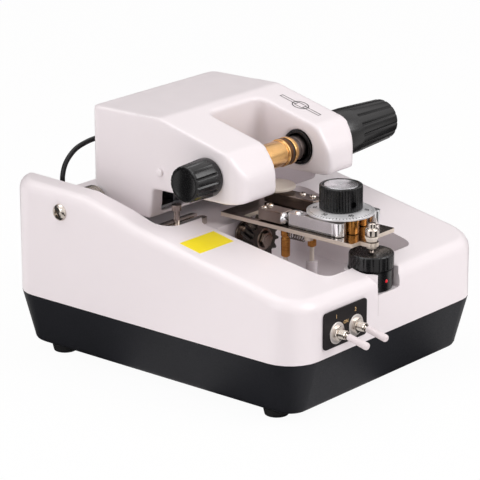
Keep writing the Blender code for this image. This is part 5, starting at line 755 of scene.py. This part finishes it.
class MACHINE_OT_clamp(bpy.types.Operator):
    """Turn the lens clamp: knobs, brass chucks, pad, shaft and liner"""

    bl_idname = "machine.clamp"
    bl_label = "Clamp"

    def execute(self, context):
        knobs = context.scene.machine_knobs
        groove = knobs.groove / MM
        for node, direction, length, skirt, skirt_radius, face_radius in (
            ("left_knob", LEFT, 23.5, 3.4, 13, 12),
            ("right_knob", RIGHT, 61, 19, 16.5, 14.2),
        ):
            slope = (skirt_radius - face_radius) / (length - skirt)
            top = length - 1.6

            def at(height):
                return skirt_radius - slope * max(height - skirt, 0)

            levels = [
                (0, skirt_radius - 0.7), (0.2, skirt_radius - 0.2), (0.7, skirt_radius),
                (skirt, at(skirt)), (skirt + 0.7, at(skirt), 0.08 * groove),
                (skirt + 1.7, at(skirt + 1.7), groove), (top, at(top), groove),
                (length - 0.9, at(length) - 0.12, 0.75 * groove), (length - 0.35, at(length) - 0.5, 0.3 * groove),
                (length, face_radius - 1.5), (length, face_radius - 2.4),
                (length - 0.25, face_radius - 2.8), (length - 0.25, 1),
            ]
            start = near_end(node, direction, length)
            stand_in(node, fluted(levels, knobs.clamp_ribs, 16, 0.2, start, direction))

        body = [(0, 0), (8.75, 0), (8.75, 42.3), (8.3, 42.6), (8.3, 43.1), (9.5, 43.5), (9.5, 44.3), (9.5, 44.6)]
        lathed("left_chuck", RIGHT, [*body, (0, 44.6)], 0.12)
        # A dark brown band that fills the groove behind the left chuck's lip: painted shade
        seat = [(0, 0), (9.1, 0), (9.1, 1), (9.45, 1.3), (9.45, 2.6), (0, 2.6)]
        start = near_end("left_chuck", LEFT) - 2.7 * MM * RIGHT
        settle("chuck_band", turned(seat, start, RIGHT, 0.12), "lens_drive", "brass_painted_shade")
        lathed("clamp_pad", RIGHT, band(0, 9, 0, 1.8), 0.3)
        lip = [(0, 0), (9.3, 0), (9.5, 0.4), (9.5, 2.5), (8.75, 3.4), (8.75, 4.1), (0, 4.1)]
        lathed("right_chuck", RIGHT, lip, 0.15)
        sleeve = turned(band(0, 8.25, 0, 3.3), near_end("right_chuck", RIGHT) + 4.1 * MM * RIGHT, RIGHT, 0.05)
        settle("chuck_sleeve", sleeve, "free_chuck", "dark_ground_steel")
        shaft = [(0, 0), (8.25, 0), (8.25, 37.7), (4.5, 37.7), (4.5, 49.4), (0, 49.4)]
        lathed("clamp_shaft", RIGHT, shaft, 0.3)
        liner = [(9.6, 0), (11.3, 0), (11.3, 27), (11.7, 27), (11.7, 27.6), (9.6, 27.6), (9.6, 14)]
        lathed("clamp_liner", LEFT, liner, 0.2)
        return {"FINISHED"}


class MACHINE_OT_dial(bpy.types.Operator):
    """Turn the dial: graduated disc with plain numbers, fine-ribbed knob and spun cap"""

    bl_idname = "machine.dial"
    bl_label = "Dial"

    def execute(self, context):
        dial = context.scene.machine_dial
        knobs = context.scene.machine_knobs
        rim_low, rim_radius, shelf_radius, shelf_high = 1.25, 22.5, 14.8, 2.55
        disc = [(2.8, 0), (rim_radius, 0), (rim_radius, rim_low), (shelf_radius, shelf_high), (2.8, shelf_high)]
        lathed("dial_disc", UP, disc, 0.15, "scale_aluminium")
        tilt = math.atan2(shelf_high - rim_low, rim_radius - shelf_radius)
        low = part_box("dial_disc")[0].z
        marks = []
        for line in range(dial.divisions):
            turn = Matrix.Rotation(math.tau * line / dial.divisions, 4, "Z")
            turn = Matrix.Translation((DIAL_AXIS[0] * MM, DIAL_AXIS[1] * MM, low)) @ turn
            numbered = line % dial.number_every == 0
            length = 2.4 if numbered else 2.2 if line % 5 == 0 else 1.5

            def lying(radius):
                height = (shelf_high - (radius - shelf_radius) * math.tan(tilt)) * MM
                return turn @ Matrix.Translation((radius * MM, 0, height)) @ Matrix.Rotation(tilt, 4, "Y")

            bar = oblong(length, dial.line_width / MM)
            marks.append(slab(bar, 0.04, lying(rim_radius - 0.45 - length / 2)))
            if numbered:
                facing = lying(17.2) @ rolled(90) @ Matrix.Translation((0, 0, 0.02 * MM))
                marks.append(letters(str(line), 3.8, 0.04, facing, 0.12))
        settle("dial_graduation", gather(*marks), "dial", "ink_black")

        start = spot(*DIAL_AXIS, 116.1)
        levels = [
            (0, 14, 0.6), (0.35, 14.35, 0.7), (14.3, 14.35, 0.7), (15, 14.3, 0.45), (15.5, 14.15),
            (15.85, 13.7), (16, 13.2), (15.95, 12.4), (15.6, 12), (15, 11.8),
        ]
        knob = fluted(levels, knobs.dial_ribs, 8, 0.42, start, UP)
        out = aimed(-106)
        hole = turned(band(0, 2.1, 0, 7), start + spot(0, 0, 5) + out * 10.4 * MM, out, 0, 32)
        stand_in("dial_knob", carved(knob, hole))
        cap = [(0, 0), (11.5, 0), (11.5, 0.65), (10.9, 0.85), (1.6, 0.75), (1.2, 0.6), (0, 0.6)]
        lathed("dial_cap", UP, cap, 0.1)
        return {"FINISHED"}


class MACHINE_OT_turret(bpy.types.Operator):
    """Turn the turret: ribbed knob on its drum, red dot, threaded spindle, cone and lift nut"""

    bl_idname = "machine.turret"
    bl_label = "Turret"

    def execute(self, context):
        knobs = context.scene.machine_knobs
        levels = [
            (0, 13.4), (0.4, 13.85), (12.9, 13.85), (13.2, 13.3), (13.7, 13.3),
            (14, 14.3, 0.1), (14.5, 14.75, 0.3), (22.6, 14.75, 0.3), (23.2, 14.6, 0.2), (23.65, 14.2),
            (23.8, 13.8), (23.75, 13.4), (23.45, 13.1), (23.45, 5.2), (23.2, 4.9),
            (23.2, 1.9), (14, 1.9),
        ]
        stand_in("turret_knob", fluted(levels, knobs.turret_ribs, 12, 0.17, spot(*TURRET_AXIS, 70.8), UP))
        out = aimed(-97)
        dot = [(0, 0), (1.2, 0), (1.2, 1.2), (0.9, 1.55), (0, 1.7)]
        start = spot(*TURRET_AXIS, 77.7) + out * 12.65 * MM
        settle("turret_dot", turned(dot, start, out, 0.2, 24), "turret", "enamel_red")
        thread = [(0, 0), (1.7, 0), *threaded(1.7, 0.8, 28.6, 0.7, 0.22), (1.5, 29), (1.2, 29.4), (0, 29.4)]
        lathed("turret_spindle", UP, thread, 0)
        cone = [(2.1, 0), (3.4, 0), (4.4, 2.6), (4.4, 3.4), (2.1, 3.4)]
        lathed("lift_cone", UP, cone, 0.2)
        nut = [(2.1, 0), (4.1, 0), (4.6, 0.5), (4.6, 4.2), (4, 5), (2.7, 5.2), (2.7, 8.3), (2.4, 8.6), (2.1, 8.6)]
        lathed("lift_nut", UP, nut, 0.25)
        return {"FINISHED"}


class MACHINE_OT_guides(bpy.types.Operator):
    """Finish the guide table: plate, arms, blocks and their screws, roller, columns, posts and spring"""

    bl_idname = "machine.guides"
    bl_label = "Guides"

    def execute(self, context):
        corner = context.scene.machine_housing.corner
        table = softened("guide_table", corner)
        # The plate's upright faces take the paler steel, a painted highlight
        table.data.materials.append(LOOKS["milled_edge"])
        for face in table.data.polygons:
            face.material_index = int(abs(face.normal.z) < 0.5 and face.center.z > 94 * MM)
        for node in ("left_guide_block", "right_guide_block"):
            softened(node, 0.35 * MM)
        for node in ("left_guide_arm", "right_guide_arm"):
            softened(node, 1.1 * MM, segments=5)
        lathed("arm_ring", BACK, band(0, 3, 0, 3), 1.1)
        for name, body, radius, height, slots, start, direction, turn, look in (
            ("left_block_screw", "left_arm", 2.7, 1.7, 2, (-17.1, -15.6, BLOCK_TOP_Z), UP, 25, "nickel_plate"),
            ("left_block_rear_screw", "left_arm", 2.2, 1.5, 2, (-23, -15.4, BLOCK_TOP_Z), UP, 50, "nickel_plate"),
            ("right_block_screw", "right_arm", 2.4, 1.6, 2, (16.9, -16.4, BLOCK_TOP_Z), UP, 10, "nickel_plate"),
            ("right_block_front_screw", "right_arm", 2.4, 1.6, 2, (16.9, -25, BLOCK_TOP_Z), UP, 40, "nickel_plate"),
            ("left_pivot_screw", "left_arm", 3.1, 1.3, 1, (-19.9, -42.4, 110.6), UP, 75, "polished_chrome"),
            ("right_pivot_screw", "right_arm", 3.1, 1.3, 1, (17.7, -42.4, 110.6), UP, 15, "polished_chrome"),
            ("block_dome", "left_arm", 3.7, 2.9, 2, LEFT_BLOCK_FRONT, FRONT, 45, "polished_chrome"),
        ):
            head = screw_head(radius, height, slots, spot(*start), direction, turn)
            settle(name, head, body, look)
        rim = turned(band(3.3, 4, 0, 0.8), spot(*LEFT_BLOCK_FRONT), FRONT, 0.3)
        settle("block_dome_ring", rim, "left_arm", "polished_chrome")
        disc = [(0, 0), (5.8, 0), (3.2, 1.7), (13.4, 1.7), (14, 2.2), (14, 3.6), (13.5, 4.1), (0, 4.1)]
        lathed("lens_roller", UP, disc, 0.25)
        for node, radius in (("left_dial_column", 4.4), ("right_dial_column", 3.4)):
            lathed(node, UP, band(0, radius, 0, 11.4), 0.3, "standing_brass")
        post = [(0, 0), (1.5, 0), (1.5, 14), (2.8, 14), (3, 14.8), (3.1, 26.6), (2.7, 27), (2.7, 27.7)]
        post += [(3.2, 28.1), (3.2, 34), (0, 34)]
        for side in ("left", "right"):
            lathed(f"{side}_guide_post", UP, post, 0.2, "standing_brass")
        for side in ("left", "right"):
            pin = turned(band(0, 1.55, 0, 13.5), near_end(f"{side}_guide_post", UP), UP, 0.2)
            settle(f"{side}_post_pin", pin, "table", "ivory_nylon")
        radius, wire_radius, x, z = 2.6, 0.4, -19.4, 94.2
        start, end, lead = -34.1, -47.6, 2 * wire_radius
        coil = [(x + across, along, z + up) for across, up, along in wound(6, 20, radius, start - lead, end + lead)]
        stand_in("arm_spring", wire([(x + radius, start, z), *coil, (x + radius, end, z)], wire_radius, 3))
        return {"FINISHED"}


class MACHINE_OT_cutter(bpy.types.Operator):
    """Finish the milling cutter, its shaft, its collar and its bearing"""

    bl_idname = "machine.cutter"
    bl_label = "Cutter"

    def execute(self, context):
        stand_in("milling_cutter", copied("milling_cutter"), crease=math.radians(24))
        softened("cutter_shaft", 0.2 * MM)
        softened("cutter_bearing", 0.2 * MM)
        collar = turned(band(5.9, 7.6, -0.05, 0.2), near_end("milling_cutter", BACK), FRONT, 0.1)
        settle("cutter_collar", collar, "cutter", "bright_steel")
        return {"FINISHED"}


class MACHINE_OT_switches(bpy.types.Operator):
    """Finish the switch plate with its plain markings, and the two toggle switches"""

    bl_idname = "machine.switches"
    bl_label = "Switches"

    def execute(self, context):
        softened("switch_plate", 0.15 * MM)
        inks = []
        for text, size, x, z in (
            ("1", 3.6, TOGGLE_XS["left"], 68.3), ("2", 3.6, TOGGLE_XS["right"], 68.3),
            ("ON", 3, -60.65, 62.6), ("OFF", 2.6, -60.65, 51.6),
        ):
            inks.append(letters(text, size, 0.06, faced(FRONT, spot(x, PLATE_FACE_Y - 0.02, z))))
        settle("plate_markings", gather(*inks), "root", "ink_gold")
        for side, x in TOGGLE_XS.items():
            start = spot(x, PLATE_FACE_Y, TOGGLE_Z)
            washer = turned(band(3, 7.2, 0, 0.9), start, FRONT, 0.3)
            settle(f"{side}_switch_washer", washer, "root", "tumbled_washer")
            hexagon = faced(FRONT, start + 0.9 * MM * FRONT) @ rolled(12)
            nut = slab([tuple(5.1 * aimed(60 * n).xy) for n in range(6)], 2.2, hexagon, 0.25)
            barrel = [(0, 2.5), (2.1, 2.5), (2.1, 8.3), (2.4, 8.5), (2.8, 8.5)]
            barrel += reversed(threaded(3.05, 3.1, 8.3, 0.7, 0.3))
            barrel += [(3, 0), (0, 0)]
            body = slab(oblong(8, 13), 8.8, faced(BACK, spot(x, -109.3, TOGGLE_Z)), 0.3)
            stand_in(f"{side}_toggle_switch", gather(nut, turned(barrel, start, FRONT, 0.05), body))
            pointing = rolled(TOGGLE_TILT, "X") @ FRONT
            pivot = spot(x, -121.2, TOGGLE_Z)
            ball = [(0, -1.6), (0.8, -1.38), (1.38, -0.8), (1.6, 0), (1.38, 0.8), (1, 1.25), (1, 4), (0, 4)]
            ball = turned(ball, pivot, pointing, 0.1, 32)
            settle(f"{side}_lever_ball", ball, BODY_OF[f"{side}_toggle_lever"], "nickel_plate")
            sleeve = [(0, 2.2), (1.9, 2.2), (2.15, 2.8), (2.3, 8), (2.5, 16.4), (2.4, 17.7), (1.7, 18.5), (0, 18.5)]
            stand_in(f"{side}_toggle_lever", turned(sleeve, pivot, pointing, 0.5, 48))
        return {"FINISHED"}


class MACHINE_OT_hinge(bpy.types.Operator):
    """Finish the hinge: screws with a cross, rod, and the wound spring on the left"""

    bl_idname = "machine.hinge"
    bl_label = "Hinge"

    def execute(self, context):
        for node, direction in (("left_hinge_screw", LEFT), ("right_hinge_screw", RIGHT)):
            profile = [(0, 0), (2.2, 0), (2.2, 17), (5.8, 17), (5.8, 17.5), (5.3, 18.6), (3.9, 19.8), (2, 20.3)]
            head = lathe(node, direction, [*profile, (0, 20.4)], 0.35)
            low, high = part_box(node)
            start = (low + high) / 2 + 8.6 * MM * direction
            cuts = [slab(oblong(5.6, 1.2), 4, faced(direction, start) @ rolled(turn)) for turn in (35, 125)]
            stand_in(node, carved(head, *cuts))
        softened("hinge_rod", 0.2 * MM)
        radius, wire_radius, y, z, leg_z = 10.2, 0.85, 87.4, 106.5, 94.6
        start, end = -90.8, -74.81
        coil = [(along, y + across, z + up) for across, up, along in wound(7, 24, radius, start, end)]
        stand_in("hinge_spring", wire([(start, y + radius, leg_z), *coil], wire_radius, 4))
        return {"FINISHED"}


class MACHINE_OT_markings(bpy.types.Operator):
    """Lay the bare yellow sticker and the plain line drawing of a clamped lens"""

    bl_idname = "machine.markings"
    bl_label = "Markings"

    def execute(self, context):
        slope = math.atan(0.192)
        lying = Matrix.Translation(spot(-83.2, -17.35, 100.76)) @ Matrix.Rotation(slope, 4, "X")
        settle("bare_sticker", slab(oblong(33.5, 17.7), 0.1, lying), "root", "vinyl_yellow")
        slope = math.atan2(14.45, 58.5)
        lying = Matrix.Translation(spot(36.5, 2, 164.35)) @ Matrix.Rotation(slope, 4, "X")
        lying = lying @ rolled(90) @ Matrix.Diagonal((1, 1, 0.2, 1))
        lines = [
            [(-17, -1.4, 0), (-3.2, -1.4, 0), (-3.2, 1.4, 0), (-17, 1.4, 0)],
            [(3.2, -1.4, 0), (17, -1.4, 0), (17, 1.4, 0), (3.2, 1.4, 0)],
            [5.6 * aimed(360 * n / 32) for n in range(32)],
            [(-3.2, -2.6, 0), (3.2, -2.6, 0), (3.2, 2.6, 0), (-3.2, 2.6, 0)],
        ]
        drawn = gather(*(wire(line, 0.36, 2, cyclic=True) for line in lines))
        bmesh.ops.transform(drawn, matrix=lying, verts=drawn.verts)
        settle("line_drawing", drawn, "head", "ink_black")
        button = [(0, -1), (2.7, -1), (2.7, 0.5), (2.3, 1), (1.4, 1.3), (0, 1.4)]
        button = turned(button, spot(-73.1, 32, 136), LEFT, 0.3)
        settle("side_button", button, "head", "white_plastic")
        return {"FINISHED"}


class MACHINE_OT_hard_pieces(bpy.types.Operator):
    """Break the corners of the small hard pieces that stay as they are"""

    bl_idname = "machine.hard_pieces"
    bl_label = "Hard pieces"

    def execute(self, context):
        for node in (
            "power_inlet", "transformer", "cutter_motor", "lens_gearmotor", "head_chassis",
            "control_board", "gearmotor_pulley", "motor_pulley", "lens_spindle",
        ):
            softened(node, context.scene.machine_housing.corner)
        softened("head_rest", context.scene.machine_housing.corner, "nickel_plate")
        return {"FINISHED"}


class MACHINE_OT_stage(bpy.types.Operator):
    """Set the floor, the lamps and the camera"""

    bl_idname = "machine.stage"
    bl_label = "Stage"

    def execute(self, context):
        settings = context.scene.machine_stage
        bm = bmesh.new()
        bmesh.ops.create_grid(bm, x_segments=1, y_segments=1, size=6.0)
        floor = linked("floor", baked("floor", bm))
        material = bpy.data.materials.new("pale_floor")
        material.use_nodes = True
        tree = material.node_tree
        shader = tree.nodes["Principled BSDF"]
        shader.inputs["Base Color"].default_value = linear("#F2F0F1")
        shader.inputs["Roughness"].default_value = 0.9
        rays = add_node(tree, "LightPath", {}, {})
        share = add_node(tree, "Math", {"operation": "MULTIPLY"}, {0: rays.outputs["Is Camera Ray"], 1: 0.96})
        glow = add_node(tree, "Emission", {}, {"Color": (1, 1, 1, 1), "Strength": 1.0})
        plain = add_node(tree, "MixShader", {}, {0: share, 1: shader, 2: glow})
        # Upright metal mirrors the floor, and the flags beside the set put dark bands there
        place = add_node(tree, "TexCoord", {}, {}).outputs["Object"]
        strength = flagged(tree, place, settings.flags)
        flags = add_node(tree, "Emission", {}, {"Color": linear("#F4F1F0"), "Strength": strength})
        mixed = add_node(tree, "MixShader", {}, {0: rays.outputs["Is Glossy Ray"], 1: plain, 2: flags})
        tree.links.new(mixed.outputs[0], tree.nodes["Material Output"].inputs["Surface"])
        floor.data.materials.append(material)

        world = bpy.data.worlds.new("studio")
        context.scene.world = world
        world.use_nodes = True
        tree = world.node_tree
        # What metal mirrors: dark behind the set and at the horizon, bright in front and overhead
        place = add_node(tree, "TexCoord", {}, {}).outputs["Generated"]
        parts = add_node(tree, "SeparateXYZ", {}, {"Vector": place}).outputs
        height = add_node(tree, "Math", {"operation": "MULTIPLY_ADD"}, {0: parts["Y"], 1: -0.45, 2: parts["Z"]})
        share = add_node(
            tree, "MapRange", {"interpolation_type": "SMOOTHSTEP"},
            {"Value": height, "From Min": 0.02, "From Max": 0.7, "To Min": 0.08, "To Max": 1.25},
        )
        room = tree.nodes["Background"]
        room.inputs["Color"].default_value = linear("#F9F4F2")
        room.inputs["Strength"].default_value = settings.room
        mirrored = add_node(tree, "Background", {}, {"Color": linear("#F9F6F6"), "Strength": share})
        rays = add_node(tree, "LightPath", {}, {})
        metal = add_node(tree, "MixShader", {}, {0: rays.outputs["Is Glossy Ray"], 1: room, 2: mirrored})
        white = add_node(tree, "Background", {}, {"Color": (1, 1, 1, 1), "Strength": 1.0})
        seen = add_node(
            tree, "Math", {"operation": "MAXIMUM"},
            {0: rays.outputs["Is Camera Ray"], 1: rays.outputs["Is Transmission Ray"]},
        )
        mixed = add_node(tree, "MixShader", {}, {0: seen, 1: metal, 2: white})
        tree.links.new(mixed.outputs[0], tree.nodes["World Output"].inputs["Surface"])

        for name, place, size, power in (
            ("key_lamp", (0.55, -1.25, 1.05), 1.1, settings.key),
            ("top_lamp", (-0.35, 0.35, 1.5), 1.2, 0.52 * settings.key),
            ("side_lamp", (-1.4, 0.1, 0.6), 0.9, 0.42 * settings.key),
        ):
            lamp = bpy.data.lights.new(name, "AREA")
            lamp.shape = "SQUARE"
            lamp.size = size
            lamp.energy = power
            linked(name, lamp).matrix_world = faced(Vector(place) - Vector((0, 0, 0.08)), place)

        camera = bpy.data.cameras.new("camera")
        camera.lens = settings.lens
        camera.sensor_width = 36.0
        camera.shift_x = -0.00915
        camera.shift_y = 0.02163
        camera.clip_start = 0.05
        holder = linked("camera", camera)
        azimuth, elevation, distance = math.radians(-50.07), math.radians(18.08), 1.7993
        target = spot(-9.9, 12.4, 70.7)
        away = Vector(
            (math.sin(azimuth) * math.cos(elevation), -math.cos(azimuth) * math.cos(elevation), math.sin(elevation))
        )
        holder.matrix_world = faced(away, target + away * distance)
        holder.rotation_euler = (-away).to_track_quat("-Z", "Y").to_euler()
        context.scene.camera = holder
        context.scene.view_settings.view_transform = "Standard"
        return {"FINISHED"}


class MACHINE_PT_panel(bpy.types.Panel):
    """Lists the operators in the sidebar"""

    bl_label = "Lens Machine"
    bl_idname = "MACHINE_PT_panel"
    bl_space_type = "VIEW_3D"
    bl_region_type = "UI"
    bl_category = "Lens Machine"

    def draw(self, context):
        for operator in OPERATORS:
            self.layout.operator(operator.bl_idname)


SETTINGS = {
    "machine_housing": HousingSettings,
    "machine_knobs": KnobSettings,
    "machine_dial": DialSettings,
    "machine_stage": StageSettings,
}
OPERATORS = (
    MACHINE_OT_stage, MACHINE_OT_looks, MACHINE_OT_cord, MACHINE_OT_housing, MACHINE_OT_clamp, MACHINE_OT_dial,
    MACHINE_OT_turret, MACHINE_OT_guides, MACHINE_OT_cutter, MACHINE_OT_switches, MACHINE_OT_hinge,
    MACHINE_OT_markings, MACHINE_OT_hard_pieces,
)


def register():
    for kind in (*SETTINGS.values(), *OPERATORS, MACHINE_PT_panel):
        bpy.utils.register_class(kind)
    for name, kind in SETTINGS.items():
        setattr(bpy.types.Scene, name, bpy.props.PointerProperty(type=kind))


def unregister():
    for name in SETTINGS:
        delattr(bpy.types.Scene, name)
    for kind in reversed((*SETTINGS.values(), *OPERATORS, MACHINE_PT_panel)):
        bpy.utils.unregister_class(kind)


def main():
    """Registers the add-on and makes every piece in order."""
    register()
    for operator in OPERATORS:
        group, name = operator.bl_idname.split(".")
        getattr(getattr(bpy.ops, group), name)()


if __name__ == "__main__":
    main()
